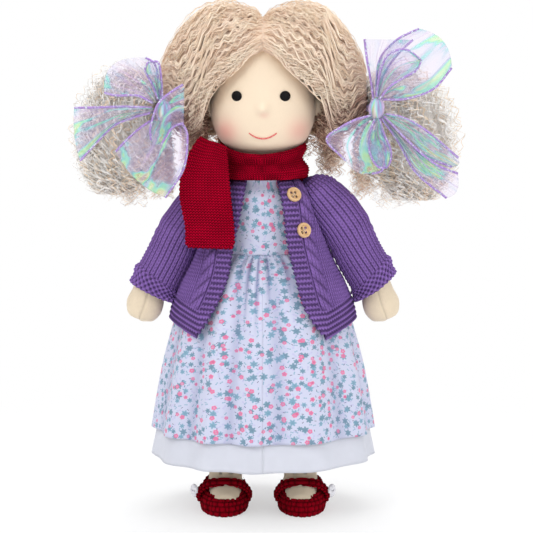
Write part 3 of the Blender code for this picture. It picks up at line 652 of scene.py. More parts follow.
def skin_finish(colours):
    """Knitted cotton skin, fine and matt, rosy on the cheeks."""
    finish = Finish("cotton_skin", roughness=0.75, sheen_weight=0.25, sheen_roughness=0.5)
    place = finish.place()
    rib = finish.noise(1, 2, finish.stretched(place, (2600.0, 2600.0, 900.0)))
    tone = finish.noise(24, 3)
    blush = finish.mark("blush")
    seam = finish.mark("seam")
    body = finish.mix(tone.between(0.3, 0.7), scaled(colours.skin, 0.955), colours.skin)
    body = finish.mix(rib.between(0.35, 0.75) * 0.18, body, scaled(colours.skin, 0.8))
    body = finish.mix(blush * 0.62, body, tuple(colours.blush))
    body = finish.mix(seam * 0.5, body, scaled(colours.skin, 0.6))
    # Painted highlight on the nose's tip and rosy painted shade below it, from the nose mark.
    nose = finish.mark("nose")
    body = finish.mix(nose.most(0) * 0.7, body, scaled(colours.skin, 1.12))
    body = finish.mix((nose * -1).most(0) * 0.2, body, tuple(colours.blush))
    return finish.done(body, rib - seam * 1.5, 0.12 * MM)


def hand_finish(colours):
    """The same cotton on hands and legs, a shade more beige, with its fine ribs running down."""
    finish = Finish("cotton_limbs", roughness=0.8, sheen_weight=0.25, sheen_roughness=0.5)
    place = finish.place()
    rib = finish.noise(1, 2, finish.stretched(place, (2400.0, 2400.0, 500.0)))
    tone = finish.noise(40, 3)
    seam = finish.mark("seam")
    body = finish.mix(tone.between(0.3, 0.7), scaled(colours.limbs, 0.93), colours.limbs)
    body = finish.mix(rib.between(0.35, 0.75) * 0.3, body, scaled(colours.limbs, 0.78))
    body = finish.mix(seam * 0.55, body, scaled(colours.limbs, 0.62))
    return finish.done(body, rib - seam * 1.5, 0.15 * MM)


def hair_finish(name, colour):
    """Mohair: fine fibres, each a little lighter or darker."""
    finish = Finish(name, roughness=0.7, sheen_weight=0.6, sheen_tint=(*colour, 1))
    finish.matt(0.2)
    broad = finish.noise(90, 3)
    fine = finish.noise(900, 4, roughness=0.7)
    body = finish.mix(fine.between(0.3, 0.7), scaled(colour, 0.88), colour)
    body = finish.mix(broad.between(0.35, 0.7) * 0.5, body, scaled(colour, 1.12))
    return finish.done(body, fine, 0.4 * MM)


def combed_finish(colours, name, colour):
    """The hair under the loose locks, its fibres along the way it is combed."""
    finish = Finish(name, roughness=0.75, sheen_weight=0.2, sheen_tint=(*colour, 1))
    finish.matt(0.2)
    chart, _, _ = finish.chart()
    fibre = finish.noise(1, 4, finish.stretched(chart, (1500.0, 130.0, 1.0)), distortion=0.6)
    lock = finish.noise(1, 3, finish.stretched(chart, (420.0, 70.0, 1.0)), distortion=0.8)
    depth = finish.mark("depth")
    body = finish.mix(fibre.between(0.3, 0.72), scaled(colour, 0.84), colour)
    body = finish.mix(lock.between(0.45, 0.75) * 0.6, body, colour)
    # Painted shade: the depth mark mixes in the shadow colour in the furrows, at the front edge, beside the face, on
    # the nape and at the bunches' roots.
    body = finish.mix(depth * 0.9, body, tuple(colours.hair_shadow))
    return finish.done(body, fibre * 0.6 + lock * 0.6, 1.2 * MM)


def thread_finish(name, colour, light, scale=1800.0, roughness=0.5):
    """Embroidery thread: fine parallel strands with a soft shine."""
    finish = Finish(name, roughness=roughness)
    finish.matt(0.3)
    strand = finish.noise(1, 2, finish.stretched(finish.place(), (scale, scale, scale * 0.12)))
    body = finish.mix(strand.between(0.3, 0.7), colour, light)
    return finish.done(body, strand, 0.15 * MM)


def cardigan_finish(colours):
    """Purple wool: a garter band, a cable, plain columns and a garter hem."""
    finish = Finish("purple_wool", roughness=0.95, sheen_weight=0.12, sheen_tint=(*colours.purple, 1))
    _, across, along = finish.chart()
    hem = finish.mark("hem")
    band = 1 - across.between(11.6 * MM, 12.6 * MM)
    rope = (across - 19.5 * MM) / (5.6 * MM)
    in_rope = (1 - abs(rope)).between(0.0, 0.08)
    twist = (1.01 - (along / (12.5 * MM) - rope * 0.5).wave()) ** 0.3
    plain = stocking(across, along, COLUMN, 2.9 * MM)
    plain = plain + (twist * (plain * 0.9 + 0.15) - plain) * in_rope
    ridges = garter(across, along, 2.9 * MM, GARTER_ROW)
    low = garter(across, hem, 2.9 * MM, GARTER_ROW)
    in_hem = 1 - hem.between(4.9 * GARTER_ROW, 5.1 * GARTER_ROW)
    height = plain + (ridges - plain) * band
    height = height + (low - height) * in_hem
    return wool(finish, colours.purple, height)


def sleeve_finish(colours):
    """Purple wool in columns down the arm, with a moss-stitch cuff."""
    finish = Finish("purple_wool_sleeve", roughness=0.95, sheen_weight=0.12, sheen_tint=(*colours.purple, 1))
    _, across, along = finish.chart()
    hem = finish.mark("hem")
    plain = stocking(across * 28 / 36, along, COLUMN, 2.9 * MM)
    cuff = moss(across, hem, 4.125 * MM, 4.2 * MM)
    height = plain + (cuff - plain) * (1 - hem.between(12.5 * MM, 13.2 * MM))
    return wool(finish, scaled(colours.purple, 0.93), height)


def scarf_finish(colours):
    """Crimson wool, knitted fine, its purl rows wavy."""
    finish = Finish("red_wool", roughness=0.95, sheen_weight=0.12, sheen_tint=(*colours.red, 1))
    _, across, along = finish.chart()
    wander = finish.noise(70, 2) * (1.6 * MM)
    bump = (across / (2.3 * MM)).wave()
    row = ((along + wander) / (2.2 * MM) + bump * 0.5).wave()
    height = row * (bump * 0.45 + 0.55)
    return wool(finish, colours.red, height, 0.2, 1.5, 0.9 * MM)


def crochet_finish(colours):
    """Thick crimson crochet: each stitch a small knot, with painted shade in between."""
    finish = Finish("red_wool_crochet", roughness=0.95, sheen_weight=0.12, sheen_tint=(*colours.crimson, 1))
    return wool(finish, colours.crimson, finish.mark("stitch"), 0.25, 1.3, 0.7 * MM)


def print_finish(colours):
    """White cotton printed with small leaf sprigs, round flowers and specks."""
    finish = Finish("print_cotton", roughness=0.85, sheen_weight=0.15)
    chart, across, along = finish.chart()

    def scatter(scale, shift, randomness=0.85):
        sockets = {"Vector": finish.read("ShaderNodeVectorMath", {"operation": "ADD"}, {"Vector": chart, "Vector_001": shift})}
        sockets.update({"Scale": scale, "Randomness": randomness})
        made = finish.node("ShaderNodeTexVoronoi", {"voronoi_dimensions": "2D"}, sockets)
        own = finish.read("ShaderNodeVectorMath", {"operation": "SUBTRACT"}, {"Vector": sockets["Vector"], "Vector_001": Reading(finish, made.outputs["Position"])})
        parts = finish.node("ShaderNodeSeparateXYZ", None, {"Vector": own})
        angle = finish.math("ARCTAN2", Reading(finish, parts.outputs["Y"]), Reading(finish, parts.outputs["X"]))
        lot = finish.node("ShaderNodeSeparateColor", None, {"Color": Reading(finish, made.outputs["Color"])})
        chance, spin = Reading(finish, lot.outputs["Red"]), Reading(finish, lot.outputs["Green"])
        return Reading(finish, made.outputs["Distance"]) / scale, angle, chance, spin

    def petals(distance, angle, spin, count, radius, depth):
        edge = finish.math("COSINE", angle * count + spin * TURN) * depth + (1 - depth)
        return 1 - (distance / (edge * radius)).between(0.85, 1.1)

    cloth = finish.mix(finish.noise(900, 2), scaled(colours.cotton, 0.97), colours.cotton)
    body = cloth
    for scale, shift, colour, radius, limit in (
        (190.0, (0.4, 0.9, 0.0), tuple(colours.speck), 1.9 * MM, 0.4),
        (250.0, (0.9, 0.2, 0.0), tuple(colours.leaf), 1.2 * MM, 0.5),
        (230.0, (0.7, 0.3, 0.0), tuple(colours.tick), 0.8 * MM, 0.62),
    ):
        distance, angle, chance, spin = scatter(scale, shift)
        dash = petals(distance, angle, spin, 2, radius, 0.5) * (chance > limit)
        body = finish.mix(dash * 0.85, body, colour)
    for scale, shift, radius in ((104.0, (0.0, 0.0, 0.0), 2.9 * MM), (140.0, (0.31, 0.17, 0.0), 2.1 * MM)):
        distance, angle, chance, spin = scatter(scale, shift)
        leaf = petals(distance, angle, spin, 6, radius, 0.2) * (chance > 0.36)
        vein = petals(distance, angle, spin, 6, radius * 0.6, 0.42) * (chance > 0.36)
        shade = finish.mix(spin.between(0.35, 0.65), tuple(colours.leaf), scaled(colours.leaf, 0.72))
        body = finish.mix(leaf * 0.9, body, shade)
        body = finish.mix(vein * 0.35, body, scaled(colours.leaf, 0.45))
    for scale, shift, radius in ((105.0, (0.53, 0.71, 0.0), 1.9 * MM), (120.0, (0.13, 0.45, 0.0), 1.5 * MM)):
        distance, angle, chance, spin = scatter(scale, shift)
        flower = petals(distance, angle, spin, 5, radius, 0.1) * (chance > 0.5)
        heart = (1 - (distance / (0.8 * MM)).between(0.6, 1.1)) * (chance > 0.5)
        body = finish.mix(flower * 0.95, body, tuple(colours.flower))
        body = finish.mix(heart * 0.45, body, finish.mix(spin, scaled(colours.flower, 0.6), tuple(colours.cotton)))
    # Painted shade deep in the gathers and long folds, and a dark dotted line along the waist seam.
    fold = finish.mark("fold")
    body = finish.mix(fold * 0.75, body, tuple(colours.fold))
    weave = (across / (0.45 * MM)).wave() + (along / (0.45 * MM)).wave()
    return finish.done(body, weave, 0.06 * MM)


def cotton_finish(colours):
    """Plain white cotton with a fine weave."""
    finish = Finish("white_cotton", roughness=0.85, sheen_weight=0.15)
    _, across, along = finish.chart()
    weave = (across / (0.5 * MM)).wave() + (along / (0.5 * MM)).wave()
    shade = finish.noise(60, 2).between(0.3, 0.7)
    body = finish.mix(shade, scaled(colours.petticoat, 0.95), colours.petticoat)
    body = finish.mix(weave.between(0.2, 1.6) * 0.25, body, scaled(colours.petticoat, 0.88))
    return finish.done(body, weave, 0.08 * MM)


def organza_finish(colours, name, cover):
    """Sheer organza with a painted sheen: green, blue, yellow or pink streaks along the ribbon."""
    finish = Finish(name, roughness=0.22, coat_weight=0.4, coat_roughness=0.15)
    chart, across, along = finish.chart()
    flow = finish.noise(1, 2, finish.stretched(chart, (85.0, 24.0, 1.0)), distortion=1.2)
    stops = (
        (0.0, tint(240, 222, 246)),
        (0.42, tint(226, 202, 242)),
        (0.5, tint(190, 190, 240)),
        (0.57, tint(140, 232, 228)),
        (0.62, tint(186, 246, 186)),
        (0.68, tint(240, 242, 184)),
        (0.78, tint(236, 210, 230)),
    )
    # Painted sheen: the ramp's greens, blues and yellows stand in for the organza's changing reflections.
    sheen = finish.read("ShaderNodeValToRGB", {"stops": stops}, {"Fac": flow}, "Color")
    streak = finish.noise(1, 1, finish.stretched(chart, (300.0, 16.0, 1.0)), distortion=0.3)
    body = finish.mix(streak.between(0.5, 0.72) * 0.6, sheen, tuple(colours.organza))
    weave = (across / (0.5 * MM)).wave() + (along / (0.5 * MM)).wave()
    bright = 1 - (abs(flow - 0.6) / 0.12).between(0.0, 1.0)
    alpha = bright * 0.34 + streak.between(0.5, 0.72) * 0.2 + cover
    return finish.done(body, flow * 2 + weave * 0.05, 1.2 * MM, roughness=0.35 - bright * 0.2, alpha=alpha)


def glitter_finish(colours):
    """The ribbon's edge: lilac cord whose metal threads have their glints painted in as pale flecks."""
    finish = Finish("organza_cord", roughness=0.4, coat_weight=0.3)
    sockets = {"Vector": finish.place(), "Scale": 1500.0}
    made = finish.node("ShaderNodeTexVoronoi", None, sockets)
    lot = finish.node("ShaderNodeSeparateColor", None, {"Color": Reading(finish, made.outputs["Color"])})
    chance = Reading(finish, lot.outputs["Red"])
    body = finish.mix(chance.between(0.2, 0.8), tuple(colours.cord), scaled(colours.cord, 1.5))
    # Painted glints: pale flecks with less roughness on the metal threads.
    glint = chance.between(0.84, 0.9)
    body = finish.mix(glint, body, tint(225, 240, 240))
    return finish.done(body, chance, 0.3 * MM, roughness=0.55 - glint * 0.35)


def wood_finish(colours):
    """Pale turned wood with a fine grain."""
    finish = Finish("button_wood", roughness=0.45, coat_weight=0.25, coat_roughness=0.3)
    grain = finish.noise(1, 3, finish.stretched(finish.place(), (260.0, 260.0, 1900.0)), distortion=1.2)
    fine = finish.noise(1, 2, finish.stretched(finish.place(), (1200.0, 1200.0, 6000.0)))
    body = finish.mix(grain.between(0.3, 0.7), scaled(colours.wood, 0.8), colours.wood)
    body = finish.mix(fine.between(0.5, 0.8) * 0.4, body, scaled(colours.wood, 0.62))
    return finish.done(body, grain + fine * 0.4, 0.08 * MM)


def pearl_finish(colours):
    """Smooth off-white button stuff with a soft shine."""
    finish = Finish("white_button", roughness=0.25, coat_weight=0.6, coat_roughness=0.1)
    cloud = finish.noise(420, 3, distortion=1.0)
    body = finish.mix(cloud.between(0.3, 0.7), tint(214, 214, 222), tint(244, 242, 246))
    return finish.done(body, cloud, 0.04 * MM)


def elastic_finish(colours):
    """A covered elastic, its yarn wound round it."""
    finish = Finish("elastic", roughness=0.75)
    _, across, along = finish.chart()
    wound = (across / (0.9 * MM) + along / (2.4 * MM)).wave()
    body = finish.mix(wound, scaled(colours.hair_shadow, 0.6), tuple(colours.hair_shadow))
    return finish.done(body, wound, 0.3 * MM)


def stuffing_finish(colours):
    """Carded wool: cream and cloudy."""
    finish = Finish("wool_stuffing", roughness=0.95, sheen_weight=0.4)
    cloud = finish.noise(220, 6, distortion=1.5, roughness=0.65)
    body = finish.mix(cloud, tint(206, 198, 178), tint(240, 234, 220))
    return finish.done(body, cloud, 1.0 * MM)


def floor_finish(colours):
    """A pale floor that turns to plain white away from the doll, and keeps its shadow."""
    finish = Finish("studio_floor", roughness=0.9)
    grain = finish.noise(14, 2)
    body = finish.mix(grain * 0.15, tuple(colours.floor), scaled(colours.floor, 0.98))
    finish.done(body)
    far = finish.read("ShaderNodeVectorMath", {"operation": "LENGTH"}, {"Vector": finish.place()}, "Value")
    path = finish.node("ShaderNodeLightPath")
    seen = Reading(finish, path.outputs["Is Camera Ray"]).most(Reading(finish, path.outputs["Is Glossy Ray"]))
    seen = seen.most(Reading(finish, path.outputs["Is Transmission Ray"]))
    white = finish.node("ShaderNodeEmission", None, {"Color": (1, 1, 1), "Strength": 1.0})
    blend = finish.node("ShaderNodeMixShader", None, {"Fac": seen * (far.between(0.05, 0.5) * 0.5 + 0.5)})
    finish.tree.links.new(finish.shader.outputs[0], blend.inputs[1])
    finish.tree.links.new(white.outputs[0], blend.inputs[2])
    finish.tree.links.new(blend.outputs[0], finish.tree.nodes["Material Output"].inputs["Surface"])
    return finish.material


MAKERS = {
    "skin": skin_finish,
    "hand": hand_finish,
    "locks": lambda colours: hair_finish("mohair", colours.hair),
    "pale_locks": lambda colours: hair_finish("mohair_pale", colours.hair_pale),
    "tip_locks": lambda colours: hair_finish("mohair_tips", colours.hair_tips),
    # A darker copy of the mohair: painted shade on strands that lie low.
    "low_shade_locks": lambda colours: hair_finish("mohair_low_shade", colours.hair_low_shade),
    "shaded_locks": lambda colours: hair_finish("mohair_shaded", colours.hair_shadow),
    "combed": lambda colours: combed_finish(colours, "mohair_combed", tuple(colours.hair)),
    "core": lambda colours: combed_finish(colours, "mohair_core", tuple(colours.hair_tips)),
    "eye": lambda colours: thread_finish("eye_thread", tint(2, 2, 3), tint(14, 14, 16), roughness=0.5),
    "mouth": lambda colours: thread_finish("mouth_thread", tint(206, 96, 96), tint(236, 140, 132)),
    "cardigan": cardigan_finish,
    "sleeve": sleeve_finish,
    "scarf": scarf_finish,
    "crochet": crochet_finish,
    "print": print_finish,
    "cotton": cotton_finish,
    "organza": lambda colours: organza_finish(colours, "organza", 0.15),
    "organza_knot": lambda colours: organza_finish(colours, "organza_knot", 0.55),
    "glitter": glitter_finish,
    "wood": wood_finish,
    "sewing": lambda colours: thread_finish("sewing_thread", tint(205, 180, 150), tint(240, 225, 200)),
    "pearl": pearl_finish,
    "elastic": elastic_finish,
    "stuffing": stuffing_finish,
    "floor": floor_finish,
}
MADE = {}


def finish_of(context, word):
    if word not in MADE:
        MADE[word] = MAKERS[word](context.scene.doll_colours)
    return MADE[word]


# Head and face


def head_surface(across, along):
    """The head and neck, the nose at the middle of across."""
    table = smooth(HEAD_SHARES)
    row = along * (len(table) - 1)
    up = np.interp(row, np.arange(len(table)), table[:, 0])
    out = np.interp(row, np.arange(len(table)), table[:, 1])
    turn = TURN * (across - 0.5)
    turn = turn - 0.5 * np.sin(turn)
    z = NECK_FLOOR + up * HEAD_HEIGHT
    radius = out * HEAD_RADIUS
    x = radius * np.sin(turn)
    front = np.cos(turn) > 0
    swell = 4.8 * MM * np.exp(-((np.hypot(x, (z - NOSE_PLACE) * 0.95) / (4.5 * MM)) ** 2))
    for side in (1, -1):
        swell += 1.0 * MM * np.exp(-((np.hypot(x - side * 24 * MM, z - 305 * MM) / (11 * MM)) ** 2))
    swell += 0.7 * MM * np.exp(-((np.hypot(x * 0.7, z - 292 * MM) / (6 * MM)) ** 2))
    swell -= 0.45 * MM * bell(z, 331 * MM, 5 * MM) * (1 - bell(x, 0, 9 * MM))
    radius = radius + swell * front
    return np.stack([radius * np.sin(turn), -radius * np.cos(turn), z], axis=1)


def head_blush(across, along):
    x, y, z = head_surface(across, along).T
    rosy = np.zeros(len(x))
    for middle, height, strength in ((-30 * MM, 302 * MM, 1.0), (29 * MM, 303 * MM, 0.75)):
        rosy += strength * np.exp(-((np.hypot(x - middle, z - height) / (9.5 * MM)) ** 2))
    return rosy * (y < 0)


def nose_light_and_shade(across, along):
    """Painted highlight on the nose's tip and rosy painted shade below it."""
    x, y, z = head_surface(across, along).T
    tip = bell(np.hypot(x + 1 * MM, z - NOSE_PLACE - 1.5 * MM), 0, 3.2 * MM)
    below = bell(np.hypot((x - 1 * MM) * 0.7, z - NOSE_PLACE + 5 * MM), 0, 2.6 * MM)
    return (tip - below) * (y < 0)


def on_face(across, height, out=0.0):
    """A point over the face, and the way out from there."""
    table = smooth(HEAD_SHARES)
    radius = HEAD_RADIUS * float(look(table, (height - NECK_FLOOR) / HEAD_HEIGHT)[0])
    turn = math.asin(across / radius)
    way = Vector((math.sin(turn), -math.cos(turn), 0))
    return way * (radius + out) + Vector((0, 0, height)), way


class DOLL_OT_head(bpy.types.Operator):
    """Head skin, ears, eyes and mouth"""

    bl_idname = "doll.head"
    bl_label = "Head and face"

    def execute(self, context):
        skin = finish_of(context, "skin")
        head = surface("head", 150, 130, head_surface, skin, middle=(0, 0), marks={"blush": head_blush, "nose": nose_light_and_shade})
        carried(head, "head", "head_skin", slot="skin")
        for side, word in SIDES:
            bm = bmesh.new()
            bmesh.ops.create_uvsphere(bm, u_segments=36, v_segments=24, radius=1)
            bmesh.ops.scale(bm, verts=bm.verts, vec=Vector((7.5, 4.5, 8)) * MM)
            bmesh.ops.translate(bm, verts=bm.verts, vec=Vector((side * 42 * MM, 0, EAR_PLACE)))
            ear = to_piece(f"ear_shape_{word}", bm, skin)
            middle = np.array([side * 48 * MM, -3 * MM, EAR_PLACE])

            def dent(co, normals):
                near = np.exp(-((np.linalg.norm((co - middle) * (1, 1, 0.7), axis=1) / (3 * MM)) ** 2))
                return -1.1 * MM * near, near

            pushed(ear, dent)
            carried(ear, "head", f"ear_{word}", slot="skin")
            place, way = on_face(side * EYE_SPREAD - 1.5 * MM, EYE_PLACE)
            bm = bmesh.new()
            bmesh.ops.create_uvsphere(bm, u_segments=40, v_segments=20, radius=1)
            bmesh.ops.scale(bm, verts=bm.verts, vec=Vector((4.5, 4.0, 1.5)) * MM)
            turn = way.to_track_quat("Z", "Y").to_matrix().to_4x4()
            bmesh.ops.transform(bm, verts=bm.verts, matrix=Matrix.Translation(place - way * 0.1 * MM) @ turn)
            eye = to_piece(f"eye_stitches_{word}", bm, finish_of(context, "eye"))
            carried(eye, "head", f"eye_{word}", slot="eye_thread")
        points, radii = [], []
        for step in range(41):
            share = step / 20 - 1
            height = 302 * MM - 4.4 * MM * (1 - share**2)
            points.append(on_face(share * 10.6 * MM, height, 0.45 * MM + 0.3 * MM * (1 - share**2))[0])
            radii.append(0.75 + 0.25 * math.cos(share * 1.4) + 0.12 * math.cos(step * 2.1))
        mouth = threads("mouth", [(points, radii, 0)], 0.62 * MM, [finish_of(context, "mouth")], 3)
        carried(mouth, "head", "mouth_stitch", slot="mouth_thread")
        return {"FINISHED"}


# Hair


HAIR_TABLE = smooth(HAIR_SHARES)
HAIRLINE_TABLE = smooth(HAIRLINE)
HAIR_RISE = 103 * MM
HAIR_FLOOR = 297 * MM
HAIR_TUFTS = 62
LOCKS = ("locks", "pale_locks", "low_shade_locks", "shaded_locks", "tip_locks")


def hair_section(x):
    """Middle depth and height and the two radii of the hair's outline at a distance from the middle."""
    top, bottom, deep = look(HAIR_TABLE, np.abs(x) / (84 * MM))
    return 9 * MM * deep, HAIR_FLOOR + (top + bottom) / 2 * HAIR_RISE, 47 * MM * deep, (top - bottom) / 2 * HAIR_RISE


def hair_angles(x):
    """Where the hair starts at the front and ends at the back, round its outline from the top."""
    _, middle, _, tall = hair_section(x)
    line = look(HAIRLINE_TABLE, np.abs(x) / MM)[0] * MM + 11 * MM * bell(x, 47 * MM, 5 * MM)
    front = -np.arccos(np.clip((line - middle) / tall, -0.97, 0.97))
    back = 2.98 + (TURN + front - 0.04 - 2.98) * step_up(np.abs(x), 42 * MM, 56 * MM)
    return front, back


def hair_lock(x, share):
    """The relief of the combed locks, from 0 in a furrow to 1 on a lock."""
    far = np.abs(x)
    lane = share * 44 + 0.9 * ripple(far / (13 * MM) + share * 9, 2.0) + np.sign(x) * 0.3
    lane = lane + 0.22 * np.sin(far / (7.4 * MM) * TURN + share * 40)
    fine = 0.5 + 0.5 * np.sin(share * 520 + far / (7.4 * MM) * TURN * 0.9 + 3 * ripple(share * 30, 5.0))
    return 0.78 * np.abs(np.sin(math.pi * lane)) ** 0.7 + 0.22 * fine


def hair_point(x, share, lift):
    """A point of the head of hair: sideways place, share from front to back, height over its outline."""
    front, back = hair_angles(x)
    angle = front + (back - front) * share
    deep_middle, middle, deep, tall = hair_section(x)
    y = deep_middle + (deep + lift) * np.sin(angle)
    z = middle + (tall + lift) * np.cos(angle)
    return np.stack([x, y, z], axis=-1)


def hair_base(across, along):
    """The combed surface, drawn in to the head at the front and the nape."""
    x = (across * 2 - 1) * 84 * MM
    close = 1 - step_up(np.abs(across * 2 - 1), 0.93, 1.0)
    front_curl = (1 - np.clip(along / 0.05, 0, 1)) ** 2
    back_curl = (1 - np.clip((1 - along) / 0.03, 0, 1)) ** 2
    near_face = 1 - step_up(np.abs(x), 44 * MM, 54 * MM)
    point = hair_point(x, along, -1.2 * MM)
    deep_middle, middle, _, _ = hair_section(x)
    axis = np.stack([x, deep_middle, middle], axis=-1)
    share = 1 - 0.2 * (front_curl + back_curl) * near_face
    share = share * np.sqrt(np.clip(close, 0.0004, 1))
    return axis + (point - axis) * share[:, None]


def hair_threads(rng, side, count, lifts, low, high):
    """Wavy strands from the parting to the tie, a few at each place waving together."""
    paths = []
    for _ in range(count):
        tuft = rng.randint(round(low * HAIR_TUFTS), round(high * HAIR_TUFTS))
        share = (tuft + rng.gauss(0, 0.26)) / HAIR_TUFTS
        start = abs(rng.gauss(0, 3)) * MM if rng.random() < 0.7 else rng.uniform(4, 44) * MM
        end = rng.uniform(66, 82) * MM if rng.random() < 0.75 else rng.uniform(35, 66) * MM
        under = share < 0.13
        end = rng.uniform(46, 60) * MM if under else end
        if under and rng.random() < 0.6:
            start, end = rng.uniform(44, 56) * MM, rng.uniform(70, 82) * MM
        steps = max(int((end - start) / (1.3 * MM)), 12)
        far = np.linspace(start, end, steps)
        phase = 40 * math.sin(tuft * 12.9) + rng.uniform(-0.5, 0.5)
        wave = far / ((6.2 + 2.4 * (tuft * 0.37 % 1)) * MM) * TURN + phase + 1.2 * ripple(far / (11 * MM), tuft)
        swing = rng.uniform(0.003, 0.009) * step_up(far, -4 * MM, 12 * MM)
        shares = share + swing * np.sin(wave) + 0.01 * ripple(far / (15 * MM), tuft * 0.7 + rng.random() * 0.3)
        shares = np.clip(shares, 0.0, 1.0)
        height = rng.uniform(*lifts)
        lift = height * MM * step_up(far, -3 * MM, 8 * MM)
        lift = lift + hair_lock(far * side, shares) * 0.6 * MM - 0.4 * MM + 0.6 * MM * np.cos(wave)
        points = hair_point(far * side, shares, lift)
        radii = rng.uniform(0.6, 1.15) * (0.35 + 0.65 * np.sin(np.linspace(0.25, math.pi - 0.25, steps)) ** 0.5)
        # Strands lying low take the deep colour and those standing highest the pale one, painted shade and painted
        # highlight; strands under the side sweep take the deep and shadow colours, painted shade beside the face.
        shade = height + rng.uniform(-0.7, 0.7)
        number = 2 if shade < 0.4 else 0 if shade < 1.6 else 1
        paths.append((points, radii, rng.choice((2, 3, 3)) if under and end > 61 * MM else number))
    return paths


# Across and up in millimetres, from the parting along the hairline and down over the ear
TEMPLE_FALL = {
    1: ((1, 369), (12, 362), (22, 352.5), (32, 344), (40, 337.5), (47, 332), (54, 325), (60, 316)),
    -1: ((1, 369), (12, 362), (22, 352.5), (32, 344), (40, 335), (45.5, 325), (48, 314), (49, 302)),
}


def hair_front(x, z, lift):
    """A point in front of the combed hair at a place across and a height."""
    deep_middle, middle, deep, tall = hair_section(x)
    rise = np.clip((z - middle) / (tall + lift), -0.98, 0.98)
    return np.stack([x, deep_middle - (deep + lift) * np.sqrt(1 - rise**2), z], axis=-1)


def temple_threads(rng, side, count):
    """Locks that sweep along the hairline and fall over the ear."""
    paths = []
    table = smooth(TEMPLE_FALL[side])
    for number in range(count):
        steps = 60
        reach = np.linspace(rng.choice((0, 0, 0.2, 0.4)) + rng.uniform(0, 0.1), rng.uniform(0.8, 1), steps)
        x, z = along_path(table, reach).T * MM
        tuft = number % 9
        out = (tuft * 1.35 - 1.5 + rng.uniform(-0.6, 0.6)) * MM
        wave = reach * 150 / (6.4 + tuft * 0.3) * TURN + tuft * 2.1 + rng.uniform(-0.4, 0.4)
        size = rng.uniform(0.7, 1.5) * MM * step_up(reach, 0.0, 0.3)
        x = x + out * step_up(reach, 0.05, 0.5) * 0.9 + size * np.sin(wave)
        z = z + out * 0.6 * (1 - reach) + rng.uniform(0, 5) * MM * (1 - reach) + size * 0.5 * np.cos(wave)
        lift = (rng.uniform(0.6, 2.4) + 1.6 * float(reach[-1] > 0.9)) * MM + size * 0.5 * np.cos(wave + 1)
        radii = rng.uniform(0.6, 1.1) * np.interp(reach, (0, 0.2, 0.8, 1), (0.5, 1, 0.9, 0.3))
        paths.append((hair_front(side * np.maximum(x, 0.5 * MM), z, lift), radii, rng.choice((0, 1, 1, 1))))
    return paths


def hanging_curls(rng, count, start, end, numbers):
    """Ringlets of three strands that hang between two ranges of places, in millimetres."""
    paths = []
    for _ in range(count):
        top = np.array([rng.uniform(*limits) for limits in start]) * MM
        tip = np.array([rng.uniform(*limits) for limits in end]) * MM
        tip[0] += (top[0] - tip[0]) * 0.5
        steps = 70
        reach = np.linspace(0, 1, steps)[:, None]
        body = top + (tip - top) * reach + np.array([0, 0, 3 * MM]) * np.sin(math.pi * reach)
        length = np.linalg.norm(tip - top)
        turn = reach[:, 0] * length / (rng.uniform(5, 8) * MM) * TURN + rng.uniform(0, TURN)
        size = rng.uniform(1.4, 2.7) * MM * step_up(reach[:, 0], -0.2, 0.4)
        sway = rng.uniform(2, 4) * MM * reach[:, 0]
        for strand in range(3):
            own = turn + strand * 0.4
            point = body.copy()
            point[:, 0] += size * np.cos(own) + sway * ripple(reach[:, 0] * 4, rng.uniform(0, 9))
            point[:, 1] += size * np.sin(own) + sway * ripple(reach[:, 0] * 4, rng.uniform(0, 9))
            paths.append((point, rng.uniform(0.8, 1.15) * np.linspace(1, 0.5, steps), rng.choice(numbers)))
    return paths


def nape_place(side):
    """Short hair under the combed hair, from behind the ear to the middle of the back."""

    def place(across, along):
        turn = 0.6 + (math.pi / 2 - 0.6) * across
        radius = (45.5 - 2.5 * along) * MM
        return np.stack([side * radius * np.cos(turn), radius * np.sin(turn), (316 - 25 * along) * MM], axis=1)

    return place


def nape_relief(across, along):
    return 0.9 * MM * np.abs(np.sin(across * 34 + 1.5 * np.sin(along * 9)))


def nape_chart(across, along):
    return across * 80 * MM, along * 25 * MM


